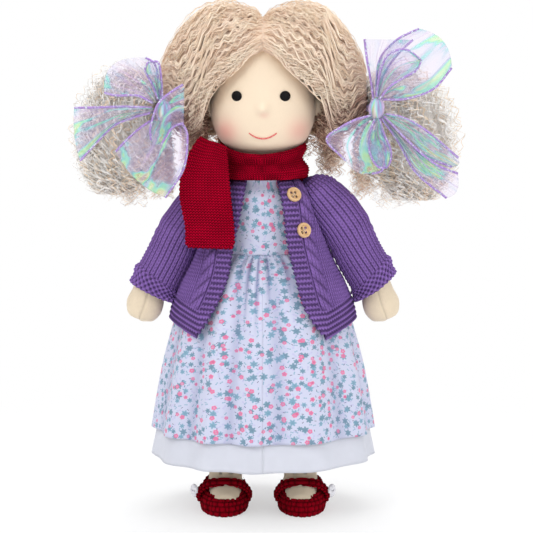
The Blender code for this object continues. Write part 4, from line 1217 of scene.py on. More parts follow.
class DOLL_OT_hair(bpy.types.Operator):
    """Mohair combed from a centre parting to the two ties"""

    bl_idname = "doll.hair"
    bl_label = "Combed hair"

    def execute(self, context):
        def relief(across, along):
            return (hair_lock((across * 2 - 1) * 84 * MM, along) - 0.5) * 1.3 * MM

        # Painted shade: a little in the furrows and at the front edge, and most at the sides beside the face.
        def depth(across, along):
            furrow = 1 - hair_lock((across * 2 - 1) * 84 * MM, along)
            side = step_up(np.abs(across * 2 - 1), 0.5, 0.68) * bell(along, 0.0, 0.2)
            return np.clip(furrow * 0.12 + bell(along, 0, 0.02) * 0.2 + side, 0, 1)

        def chart(across, along):
            return along * 0.19, np.abs(across * 2 - 1) * 84 * MM

        base = surface("hair", 100, 150, hair_base, finish_of(context, "combed"), relief=relief, chart=chart, marks={"depth": depth}, merge=False)
        face_out_piece(base, Vector((0, 9 * MM, 345 * MM)))
        thicken(base, 1.0 * MM)
        carried(base, "head", "hair_cap", slot="mohair")
        locks = [finish_of(context, word) for word in LOCKS]
        for side, word in SIDES:
            rng = random.Random(11 + side)
            for part, low, high, count in (("front", 0.0, 0.42, 740), ("back", 0.42, 1.0, 520)):
                paths = hair_threads(rng, side, count, (0.0, 2.0), low, high)
                paths += hair_threads(rng, side, count // 10, (2.0, 6), low, high)
                strands = threads(f"hair_locks_{part}_{word}", paths, 0.34 * MM, locks, flat=True)
                carried(strands, "head", slot="mohair")
            # Painted shade: the nape hair is darkened towards the shadow colour, most at the bottom.
            nape = surface(f"nape_hair_{word}", 60, 24, nape_place(side), finish_of(context, "combed"), middle=(0, 0), relief=nape_relief, chart=nape_chart, marks={"depth": lambda across, along: 0.7 + along * 0.3}, merge=False)
            carried(thicken(nape, 1.0 * MM), "head", slot="mohair")
            paths = temple_threads(rng, side, 130)
            # The curls behind the ear and at the nape take mostly the deep and shadow colours, painted shade under the
            # bow and the combed hair.
            for count, start, end, numbers in (
                (60, ((43, 58), (-14, 16), (306, 326)), ((41, 58), (-12, 18), (286, 300)), (2, 3, 3)),
                (26, ((50, 62), (-6, 30), (306, 312)), ((48, 66), (0, 30), (272, 284)), (0, 1, 2, 3)),
                (30, ((44, 66), (20, 34), (306, 312)), ((44, 66), (20, 36), (262, 272)), (0, 1, 1, 2)),
                (46, ((0, 46), (42, 47), (306, 316)), ((0, 46), (44, 50), (276, 286)), (0, 2, 3)),
            ):
                for points, radii, number in hanging_curls(rng, count, start, end, numbers):
                    paths.append((points * (side, 1, 1), radii, number))
            wisps = threads(f"temple_locks_{word}", paths, 0.36 * MM, locks, flat=True)
            carried(wisps, "head", slot="mohair")
        return {"FINISHED"}


def face_out_piece(made, middle):
    """Turns an open shell's faces away from a point."""
    bm = bmesh.new()
    bm.from_mesh(made.data)
    bmesh.ops.recalc_face_normals(bm, faces=bm.faces)
    out = sum(face.normal.dot(face.calc_center_median() - middle) * face.calc_area() for face in bm.faces)
    if out < 0:
        bmesh.ops.reverse_faces(bm, faces=bm.faces)
    bm.to_mesh(made.data)
    bm.free()
    return made


BUNCH_TABLE = smooth(BUNCH_SHARES)


def bunch_path(side, share, grow=1.0):
    """Middle, sideways direction and radius of a bunch at shares of its length."""
    share = np.atleast_1d(np.asarray(share, float))
    row = share * (len(BUNCH_TABLE) - 1)
    out, down, wide = (np.interp(row, np.arange(len(BUNCH_TABLE)), column) for column in BUNCH_TABLE.T)
    reach, drop = (43 * MM, 76 * MM) if side == 1 else (38.5 * MM, 71 * MM)
    middle = np.stack([side * (TIE.x + out * reach), out * 0, TIE.z - down * drop], axis=-1)
    ahead = np.interp(np.clip(row + 2, 0, len(BUNCH_TABLE) - 1), np.arange(len(BUNCH_TABLE)), BUNCH_TABLE[:, 0])
    behind = np.interp(np.clip(row - 2, 0, len(BUNCH_TABLE) - 1), np.arange(len(BUNCH_TABLE)), BUNCH_TABLE[:, 0])
    fall = np.interp(np.clip(row + 2, 0, len(BUNCH_TABLE) - 1), np.arange(len(BUNCH_TABLE)), BUNCH_TABLE[:, 1])
    rise = np.interp(np.clip(row - 2, 0, len(BUNCH_TABLE) - 1), np.arange(len(BUNCH_TABLE)), BUNCH_TABLE[:, 1])
    way = np.stack([side * (ahead - behind) * 43, out * 0, -(fall - rise) * 76], axis=-1)
    way = way / np.linalg.norm(way, axis=1)[:, None]
    across = np.stack([-way[:, 2], out * 0, way[:, 0]], axis=-1)
    return middle, across, wide * 36 * MM * grow


def bunch_threads(rng, side, count, strands, spreads, low, high):
    """Ringlets from the tie that fill the bunch and curl more towards their ends."""
    paths = []
    for _ in range(count):
        angle = rng.uniform(low, high)
        share = np.linspace(0.03, 1.0 if rng.random() < 0.7 else rng.uniform(0.6, 1), 125)
        middle, across, radius = bunch_path(side, share)
        spread = radius * rng.uniform(*spreads)
        deep = np.array([0, 1, 0])
        body = middle + across * (spread * math.cos(angle))[:, None] + deep * (spread * 0.78 * math.sin(angle))[:, None]
        length = np.concatenate([[0], np.cumsum(np.linalg.norm(np.diff(body, axis=0), axis=1))])
        loose = 0.2 + 0.8 * step_up(length, 4 * MM, 34 * MM)
        turn = length / (rng.uniform(6, 10.5) * MM) * TURN + rng.uniform(0, TURN)
        turn = turn + 1.5 * ripple(length / (13 * MM), rng.uniform(0, 9))
        size = rng.uniform(1.6, 3.0) * MM * loose * (1 + 0.4 * ripple(length / (9 * MM), rng.uniform(0, 9)))
        drift = 4.2 * MM * loose * ripple(length / (15 * MM), rng.uniform(0, 9))
        sway = 2.6 * MM * loose * ripple(length / (13 * MM), rng.uniform(0, 9))
        shade = rng.choice((1, 4, 4, 4))
        for strand in range(strands):
            own = turn + strand * 0.24 + rng.uniform(-0.1, 0.1)
            wide = size * (1 - 0.06 * strand)
            point = body + across * (wide * np.cos(own) + drift)[:, None]
            point = point + deep * (wide * np.sin(own) + sway)[:, None]
            radii = rng.uniform(0.8, 1.15) * np.linspace(1, 0.5, len(share))
            paths.append((point, radii, shade))
    return paths


class DOLL_OT_bunches(bpy.types.Operator):
    """The two curly bunches and the ties round their roots"""

    bl_idname = "doll.bunches"
    bl_label = "Bunches and ties"

    def execute(self, context):
        locks = [finish_of(context, word) for word in LOCKS]
        for side, word in SIDES:
            def core(across, along):
                middle, sideways, radius = bunch_path(side, along * 0.95, 0.73)
                radius = radius * np.sqrt(np.clip(np.minimum(along / 0.02, (1 - along) / 0.1), 0.0004, 1))
                turn = TURN * across
                point = middle + sideways * (radius * np.cos(turn))[:, None]
                point[:, 1] += np.minimum(radius * 0.76, 4 * MM + radius * 0.6) * np.sin(turn)
                return point

            def relief(across, along):
                turn = TURN * across
                lump = ripple(np.cos(turn) * 4 + along * 9, 1.0) + ripple(np.sin(turn) * 5 - along * 12, 4.0)
                return lump * 1.6 * MM * step_up(along, 0.1, 0.4)

            def chart(across, along):
                return across * 0.16, along * 0.1

            # Painted shade: the core darkens towards the shadow colour near the tie.
            marks = {"depth": lambda across, along: 0.05 + 0.6 * (1 - step_up(along, 0.05, 0.3))}
            made = surface(f"bunch_hair_{word}", 60, 80, core, finish_of(context, "core"), relief=relief, chart=chart, marks=marks)
            carried(made, f"bunch_{word}", f"bunch_{word}", slot="mohair")
            rng = random.Random(31 + side)
            for part, low, high, count in (("front", math.pi, TURN, 56), ("back", 0, math.pi, 32)):
                paths = bunch_threads(rng, side, count, 5, (0.74, 0.96), low, high)
                paths += bunch_threads(rng, side, count, 1, (0.92, 1.09), low, high)
                ringlets = threads(f"ringlets_{part}_{word}", paths, 0.36 * MM, locks, flat=True)
                carried(ringlets, f"bunch_{word}", slot="mohair")
            start, end = ((74, 84), (-9, 12), (312, 320)), ((64, 98), (-14, 18), (248, 268))
            curls = hanging_curls(rng, 76, start, end, (1, 1, 4, 2))
            start, end = ((82, 134), (-26, 20), (264, 282)), ((80, 130), (-26, 20), (241, 258))
            curls += hanging_curls(rng, 48, start, end, (1, 4, 4))
            curls = [(points * (side, 1, 1), *rest) for points, *rest in curls]
            inner = threads(f"inner_curls_{word}", curls, 0.36 * MM, locks, flat=True)
            carried(inner, f"bunch_{word}", slot="mohair")

            def tie(across, along):
                turn, round_turn = TURN * across, TURN * along
                out = 8 * MM + 1.6 * MM * np.cos(round_turn) + 0.25 * MM * np.cos(turn * 11)
                x = side * TIE.x + 1.7 * MM * np.sin(round_turn)
                return np.stack([x, out * np.sin(turn), TIE.z + out * np.cos(turn)], axis=1)

            def tie_chart(across, along):
                return across * 50 * MM, along * 10 * MM

            elastic = surface(f"tie_{word}", 96, 14, tie, finish_of(context, "elastic"), chart=tie_chart)
            carried(elastic, f"bunch_{word}", f"hair_tie_{word}", slot="elastic")
        return {"FINISHED"}


# Bows


# Each ribbon: its two edges as points across and up in millimetres, its depths at the knot and the end,
# whether its edges meet in a loop, and how far its end swells out
RIBBONS = {
    -1: (
        (((-79, 327), (-80, 342), (-83, 355), (-90, 360)), ((-84, 325), (-96, 331), (-112, 331), (-122, 333)), (-42, -38), False, 12),
        (((-84, 321.5), (-104, 322.5), (-125, 322), (-145, 321.5)), ((-85, 318), (-100, 314), (-117, 306), (-141, 281)), (-42, -40), False, 2),
        (((-86, 312), (-96, 305), (-106, 296), (-113.5, 288)), ((-62, 310), (-58, 300), (-61, 275), (-75.5, 252.5)), (-42, -41), False, 5),
        (((-60, 340), (-70, 334), (-80, 325), (-86, 308), (-86, 297)), ((-60.5, 310), (-65, 309), (-70, 306), (-74, 300), (-78, 294)), (-47, -44), False, 2),
        (((-77, 329), (-78, 345), (-80, 356), (-86, 357)), ((-80, 328), (-85, 340), (-90, 350), (-88, 356)), (-44, -42), True, 0),
    ),
    1: (
        (((85, 327), (83, 342), (80, 358), (78, 374)), ((88, 329), (92, 346), (103, 362), (115, 373.5)), (-41, -37), False, 0),
        (((87, 329), (89, 357), (102, 373), (119.5, 382)), ((91, 328), (110, 328.5), (131, 336), (145, 352)), (-42, -38), False, 8),
        (((87, 329), (90, 350), (97, 363), (109.5, 366), (121, 358)), ((89, 328), (97, 338), (108, 345), (117, 350), (121, 358)), (-45, -44), True, 0),
        (((84, 316), (72, 313), (60, 307), (49, 297), (64, 281)), ((89, 314), (92, 300), (95, 286), (92, 274), (84, 271)), (-42, -42), False, 4),
        (((86, 314), (82, 300), (82, 288), (88, 277), (95, 276)), ((89, 314), (93, 302), (98, 290), (98, 281), (95, 276)), (-45, -45), True, 0),
        (((90, 315), (104, 296), (118, 272), (142, 252)), ((92, 316), (112, 296), (132, 279), (150.5, 271)), (-43, -40), False, 5),
        (((91, 316), (108, 300), (124, 285), (146, 276)), ((93, 317), (108, 314), (126, 304), (151, 283)), (-41, -37), False, 3),
    ),
}
KNOTS = {-1: Vector((-76 * MM, -42 * MM, 319 * MM)), 1: Vector((87.5 * MM, -42 * MM, 321 * MM))}


def ribbon_place(one, two, depths, swell, folds, seed):
    """A ribbon between its two edges, rippled by its gathers."""
    one, two = smooth(one), smooth(two)
    middle_end = (one[-1] + two[-1]) / 2 - (one[0] + two[0]) / 2
    middle_end = middle_end / max(np.linalg.norm(middle_end), 1e-6)

    def place(across, along):
        first, second = along_path(one, along), along_path(two, along)
        flat = first + (second - first) * across[:, None]
        flat = flat + middle_end * (swell * 4 * across * (1 - across) * along**3)[:, None]
        wave = np.sin(across * folds * math.pi + seed + 1.2 * np.sin(along * 3 + seed))
        y = depths[0] + (depths[1] - depths[0]) * along + 2.0 * wave * np.sin(math.pi * np.clip(along, 0, 1) ** 0.7) ** 0.8
        y = y - 2.2 * np.sin(math.pi * across) * along
        return np.stack([flat[:, 0], y, flat[:, 1]], axis=1) * MM

    return place


class DOLL_OT_bows(bpy.types.Operator):
    """Organza bows with their edging cord, knots and stems"""

    bl_idname = "doll.bows"
    bl_label = "Organza bows"

    def execute(self, context):
        for side, word in SIDES:
            whole = None
            cords = []
            for number, (one, two, depths, looped, swell) in enumerate(RIBBONS[side]):
                place = ribbon_place(one, two, depths, swell, 3 + number % 3, number * 1.7)

                def chart(across, along):
                    return across * 34 * MM + number * 0.21, along * 60 * MM + number * 0.13

                name = f"ribbon_{word}_{number}"
                made = surface(name, 40, 44, place, finish_of(context, "organza"), chart=chart, merge=False)
                thicken(made, 0.25 * MM, 0)
                carried(made, f"bunch_{word}", slot="organza")
                whole = whole or made
                along = np.linspace(0.02, 1, 40)
                first, second = place(along * 0, along), place(along * 0 + 1, along)
                if looped:
                    cords.append((np.concatenate([first, second[::-1]]), np.ones(80), 0))
                else:
                    cords.append((first, np.ones(40), 0))
                    cords.append((second, np.ones(40), 0))
            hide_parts(f"bow_{word}")
            edging = threads(f"ribbon_cord_{word}", cords, 0.92 * MM, [finish_of(context, "glitter")], 2)
            carried(edging, f"bunch_{word}", slot="organza")
            knot = KNOTS[side]

            def knot_place(across, along):
                turn, tilt = TURN * across, math.pi * (along - 0.5)
                radius = 5.4 * MM * np.cos(tilt) ** 0.8
                x = knot.x + radius * np.sin(turn) * 1.05
                y = knot.y + radius * np.cos(turn) * 0.85
                return np.stack([x, y, knot.z + 8.0 * MM * np.sin(tilt)], axis=1)

            def knot_relief(across, along):
                return 0.8 * MM * np.sin(across * TURN * 5 + along * 7) * np.sin(math.pi * along)

            def knot_chart(across, along):
                return across * 34 * MM, along * 18 * MM

            tied = surface(f"knot_{word}", 60, 40, knot_place, finish_of(context, "organza_knot"), relief=knot_relief, chart=knot_chart)
            carried(tied, f"bunch_{word}", slot="organza")
            x = (84 if side == 1 else -76) * MM

            def stem_place(across, along):
                turn = TURN * across
                radius = 3.4 * MM + 0.5 * MM * np.cos(turn * 5 + along * 4)
                y = knot.y + (-9.9 * MM - knot.y) * along
                back = x + (knot.x - x) * (1 - along)
                return np.stack([back + radius * np.sin(turn), y, 320 * MM + radius * np.cos(turn)], axis=1)

            stem = surface(f"ribbon_stem_{word}", 40, 24, stem_place, finish_of(context, "organza_knot"), chart=knot_chart)
            thicken(stem, 0.5 * MM)
            carried(stem, f"bunch_{word}", slot="organza")
        return {"FINISHED"}


# Body


def limb(side, table, radius):
    """A round-ended tube from the shoulder down the arm, as a function of two shares."""
    way = np.array([table[1][0] - table[0][0], table[1][1] - table[0][1]])
    way = way / np.linalg.norm(way)
    domed = []
    for degrees in (4, 22, 45, 68):
        tilt = math.radians(degrees)
        back = math.cos(tilt) * radius / ARM_LENGTH
        domed.append((-way[0] * back, -way[1] * back, math.sin(tilt), math.sin(tilt)))
    rows = smooth([*domed, *table], 8)
    number = np.arange(len(rows))
    out, down, wide, deep = (rows * (ARM_LENGTH, ARM_LENGTH, radius, radius)).T
    lead = np.stack([np.gradient(out), np.gradient(down)], axis=1)
    lead = lead / np.linalg.norm(lead, axis=1)[:, None]
    length = np.concatenate([[0], np.cumsum(np.hypot(np.diff(out), np.diff(down)))])

    def place(across, along):
        row = along * (len(rows) - 1)
        o, d, w, f = (np.interp(row, number, column) for column in (out, down, wide, deep))
        lead_out, lead_down = (np.interp(row, number, column) for column in lead.T)
        turn = TURN * across
        x = side * (SHOULDER.x + o + lead_down * w * np.sin(turn))
        z = SHOULDER.z - d + lead_out * w * np.sin(turn)
        return np.stack([x, f * np.cos(turn), z], axis=1)

    def measure(along):
        return np.interp(along * (len(rows) - 1), number, length)

    return place, measure, length[-1]


class DOLL_OT_limbs(bpy.types.Operator):
    """Torso, arms with their hands, legs with their feet, and the filling"""

    bl_idname = "doll.limbs"
    bl_label = "Torso, arms and legs"

    def execute(self, context):
        hand = finish_of(context, "hand")
        for node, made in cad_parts.items():
            if node.endswith("stuffing"):
                made.data.materials.clear()
                made.data.materials.append(finish_of(context, "stuffing"))
        torso = to_piece("torso_cloth", frame_copy("torso_skin"), hand)
        carried(remeshed(torso, 2.6 * MM), "torso", "torso_skin", slot="skin")
        for side, word in SIDES:
            place, measure, reach = limb(side, ARM_SHARES, ARM_RADIUS)

            def seam_height(across, along):
                near = np.minimum(np.abs(across - 0.5), np.minimum(across, 1 - across)) * 80 * MM
                return np.exp(-((near / (0.7 * MM)) ** 2)) * step_up(measure(along), 70 * MM, 80 * MM)

            def relief(across, along):
                soft = 0.35 * MM * ripple(across * 9 + along * 14, 2.0)
                return soft - 0.55 * MM * seam_height(across, along)

            arm = surface(f"arm_{word}", 80, 140, place, hand, relief=relief, marks={"seam": seam_height})
            carried(arm, f"arm_{word}", f"arm_{word}_skin", slot="skin")
            leg = to_piece(f"leg_{word}", frame_copy(f"leg_{word}_skin"), hand)
            carried(remeshed(leg, 1.6 * MM, 6), f"leg_{word}", f"leg_{word}_skin", slot="skin")
        return {"FINISHED"}


# Dress and petticoat


def skirt_surface(side, table, top, length, wide, deep, gathers, folds, seed):
    """Half of a gathered skirt, from the front's middle to the back's."""
    table = smooth(table)

    def pleats(across, along):
        turn = side * math.pi * across
        down = along**1.15
        swing = turn + 0.05 * np.sin(3 * turn + seed) + 0.03 * np.sin(7 * turn)
        own = 0.7 + 0.3 * np.sin(9 * turn + seed * 2)
        tight = step_up(down, 0.0, 0.03) * (1 - step_up(down, 0.04, 0.2 + 0.3 * own))
        pleat = np.abs(np.sin(15 * swing + 0.9 * np.sin(5 * turn + seed))) ** 0.6
        return tight * own, pleat

    # Painted shade in the gathers at the waist and along the long folds, and a dark dotted line at the waist seam.
    def fold(across, along):
        tight, pleat = pleats(across, along)
        turn, down = side * math.pi * across, along**1.15
        long = np.clip(-np.cos(12 * turn + 1.1 * np.sin(3 * turn + seed) + 0.3 * down), 0, 1) ** 3
        seam = 0.8 * bell(down, 0, 0.008) * (0.6 + 0.4 * np.cos(90 * turn))
        return np.clip(tight * (1 - pleat * 1.2) * 1.6 + 0.35 * long * step_up(down, 0, 0.1) + seam, 0, 1)

    def place(across, along):
        turn = side * math.pi * across
        down = along**1.15
        shares = look(table, down)
        low = step_up(down, 0.1, 0.9)
        wave = folds * shares[2] * (0.5 + 0.5 * low) * np.cos(12 * turn + 1.1 * np.sin(3 * turn + seed) + 0.3 * down)
        tight, pleat = pleats(across, along)
        minor = 0.3 * np.sin(53 * turn + 2 * np.sin(6 * turn)) * (1 - step_up(down, 0.02, 0.16))
        wave = wave + gathers * tight * (pleat - 0.7 + minor)
        x = (shares[0] * wide + wave) * np.sin(turn)
        y = -(shares[1] * deep + wave) * np.cos(turn)
        return np.stack([x, y, top - down * length], axis=1)

    def chart(across, along):
        turn = side * math.pi * across
        slope = 0.3
        rows = np.linspace(0, 1, 60)
        mean = (look(table, rows)[0] * wide + look(table, rows)[1] * deep) / 2
        run = np.concatenate([[0], np.cumsum(np.hypot(np.diff(mean), np.diff(rows) * length))])
        far = mean[-1] / slope - run[-1] + np.interp(along**1.15, rows, run)
        return far * np.sin(turn * slope) + 0.31, far * np.cos(turn * slope) + 0.17

    return place, chart, fold


class DOLL_OT_dress(bpy.types.Operator):
    """Printed dress: bodice and gathered skirt, and the petticoat below it"""

    bl_idname = "doll.dress"
    bl_label = "Dress and petticoat"

    def execute(self, context):
        printed, plain = finish_of(context, "print"), finish_of(context, "cotton")
        torso = smooth(TORSO_SHARES)

        def bodice_place(across, along):
            turn = TURN * (across - 0.5)
            up = 0.505 + along * 0.49
            wide, deep = look(torso, up)
            x = (wide * 40 * MM + 1.45 * MM) * np.sin(turn)
            y = -(deep * 30 * MM + 1.45 * MM) * np.cos(turn)
            return np.stack([x, y, 148.35 * MM + up * 114 * MM + 3.6 * MM * step_up(along, 0.9, 1)], axis=1)

        def bodice_relief(across, along):
            turn = TURN * (across - 0.5)
            tuck = np.sin(23 * turn + np.sin(4 * turn)) * 0.35 * MM * (1 - step_up(along, 0.0, 0.3)) + 2.5 * MM * step_up(along, 0.95, 1)
            seam = 0.5 * MM * bell(along, 0.02, 0.015)
            return tuck + seam + 0.25 * MM * ripple(turn * 3 + along * 5, 1.5)

        def bodice_chart(across, along):
            return (across - 0.5) * 0.2 + 0.05, along * 57 * MM + 0.42

        bodice = surface("bodice", 110, 50, bodice_place, printed, middle=(0, 0), relief=bodice_relief, chart=bodice_chart)
        thicken(bodice, 1.1 * MM)
        carried(bodice, "torso", "dress_bodice", slot="print_cotton")
        for side, word in SIDES:
            place, chart, fold = skirt_surface(side, SKIRT_SHARES, 206.4 * MM, 141.8 * MM, 87 * MM, 76 * MM, 4.6 * MM, 3.2 * MM, 1.3)
            skirt = surface(f"skirt_{word}", 190, 80, place, printed, middle=(0, 0), chart=chart, marks={"fold": fold}, merge=False)
            thicken(skirt, 0.9 * MM)
            settle(skirt)
            carried(skirt, "torso", "skirt", slot="print_cotton")
            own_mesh(skirt)
            place, chart, _ = skirt_surface(side, PETTICOAT_SHARES, 200 * MM, 157 * MM, 88 * MM, 77.5 * MM, 0.6 * MM, 2.2 * MM, 1.3)

            def hem(across, along):
                down = along**1.15
                return 0.3 * MM * bell(down, 0.955, 0.006) - 0.25 * MM * bell(down, 0.94, 0.004)

            under = surface(f"petticoat_{word}", 150, 66, place, plain, middle=(0, 0), relief=hem, chart=chart, merge=False)
            thicken(under, 0.9 * MM)
            settle(under)
            carried(under, "torso", "petticoat", slot="white_cotton")
            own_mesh(under)
        return {"FINISHED"}


# Cardigan


CARDIGAN_TABLE = smooth(CARDIGAN_SHARES)
GARTER_ROW = 4.2 * MM
COLUMN = 2.75 * MM
CARDIGAN_TOP = 265 * MM
CARDIGAN_LENGTH = 125 * MM


def cardigan_size(z):
    wide, deep = look(CARDIGAN_TABLE, (CARDIGAN_TOP - z) / CARDIGAN_LENGTH)
    return wide * 76 * MM, deep * 65 * MM


def cardigan_fall(z):
    """Length of the knitting from the neck down to a height."""
    heights = np.linspace(CARDIGAN_TOP, CARDIGAN_TOP - CARDIGAN_LENGTH, 200)
    _, deep = cardigan_size(heights)
    length = np.concatenate([[0], np.cumsum(np.hypot(np.diff(heights), np.diff(deep)))])
    return np.interp(-z, -heights, length)


def hem_height(x):
    return np.interp(np.abs(x), (50 * MM, 76 * MM), (144 * MM, 155 * MM))


def front_surface(side):
    """A front of the cardigan, from its edge to the side seam and from neck to hem."""
    edge = smooth(FRONT_EDGES[side][::-1])

    def spread(across, along):
        z = CARDIGAN_TOP - along * 122 * MM
        for _ in range(3):
            wide, deep = cardigan_size(z)
            start = np.arcsin(np.clip(look(edge, z / MM)[0] * MM / wide, -1, 1))
            turn = start + (math.radians(89.8) - start) * across
            x = wide * np.sin(turn)
            z = CARDIGAN_TOP - along * (CARDIGAN_TOP - hem_height(x))
        return x, z, start, turn, wide, deep

    def place(across, along):
        x, z, _, turn, _, deep = spread(across, along)
        return np.stack([side * x, -deep * np.cos(turn), z], axis=1)

    def width(across, along):
        _, _, start, turn, wide, deep = spread(across, along)
        total = np.zeros(len(across))
        for number in range(8):
            part = start + (turn - start) * (number + 0.5) / 8
            total += np.hypot(wide * np.cos(part), deep * np.sin(part))
        return total / 8 * (turn - start)

    def fall(across, along):
        return cardigan_fall(spread(across, along)[1])

    def hem(across, along):
        x, z, *_ = spread(across, along)
        return cardigan_fall(hem_height(x)) - cardigan_fall(z)

    return place, width, fall, hem


def cardigan_relief(width, fall, hem):
    """Garter ridges on the band and hem and a rope of a cable beside the band."""
    bump = np.sin(width / (2.9 * MM) * TURN)
    ridge = 0.5 + 0.5 * np.cos(fall / GARTER_ROW * TURN + 1.1 * bump + 0.8 * ripple(width / (5 * MM), 2.0))
    ridge = ridge * (0.8 + 0.2 * np.cos(width / (2.9 * MM) * 2 * TURN))
    band = 1 - step_up(width, 11.4 * MM, 12.6 * MM)
    rope = (width - 19.5 * MM) / (5.6 * MM)
    dome = np.sqrt(np.clip(1 - rope**2, 0, 1))
    twist = np.abs(np.sin(math.pi * (fall / (12.5 * MM) - rope * 0.5))) ** 0.4
    valley = bell(width, 13.2 * MM, 0.9 * MM) + bell(width, 25.8 * MM, 0.9 * MM)
    stitch = 0.9 + 0.1 * np.cos(fall / (2.9 * MM) * TURN + 1.5 * np.abs(np.cos(math.pi * width / COLUMN)))
    columns = (np.abs(np.sin(math.pi * width / COLUMN)) ** 0.6 * stitch - 0.5) * 1.1 * MM * (width > 26.5 * MM)
    rope_stitch = 0.35 * MM * np.cos(fall / (2.9 * MM) * TURN + rope * 4)
    low = 1 - step_up(hem, 4.9 * GARTER_ROW, 5.1 * GARTER_ROW)
    body = 1.1 * MM * ridge * band + dome * ((0.3 + 0.7 * twist) * 1.8 * MM + rope_stitch) * (1 - band) - 0.6 * MM * valley + columns
    return body * (1 - low) + hem_relief(hem, width) * low


def hem_relief(hem, width):
    """Five soft ridges, each a row of small bumps."""
    wander = 0.6 * ripple(width / (14 * MM), 4.0) + 0.6 * np.sin(width / (2.9 * MM) * TURN)
    return (0.5 + 0.5 * np.cos(hem / GARTER_ROW * TURN + wander)) * 1.1 * MM


def arm_room(side):
    """All that a sleeve sweeps as its arm turns, as a cone about the shoulder's axis."""
    radius = ARM_RADIUS + 3.9 * MM
    lean = math.atan2(0.18, 0.226)
    profile = []
    for step in range(1, 9):
        turn = (math.pi / 2 - lean) * step / 8
        profile.append((SHOULDER.x - radius * math.cos(turn), radius * math.sin(turn)))
    x, out = profile[-1]
    profile.append((x + 43 * MM * math.sin(lean), out + 43 * MM * math.cos(lean)))
    bm = bmesh.new()
    verts = [bm.verts.new((side * x, 0, SHOULDER.z + out)) for x, out in profile]
    edges = [bm.edges.new(pair) for pair in zip(verts, verts[1:])]
    settings = {"cent": (0, 0, SHOULDER.z), "axis": (1, 0, 0), "steps": 48, "angle": TURN, "use_merge": True}
    bmesh.ops.spin(bm, geom=[*verts, *edges], **settings)
    bmesh.ops.remove_doubles(bm, verts=bm.verts, dist=1e-6)
    bmesh.ops.holes_fill(bm, edges=bm.edges, sides=0)
    bmesh.ops.recalc_face_normals(bm, faces=bm.faces)
    return bm


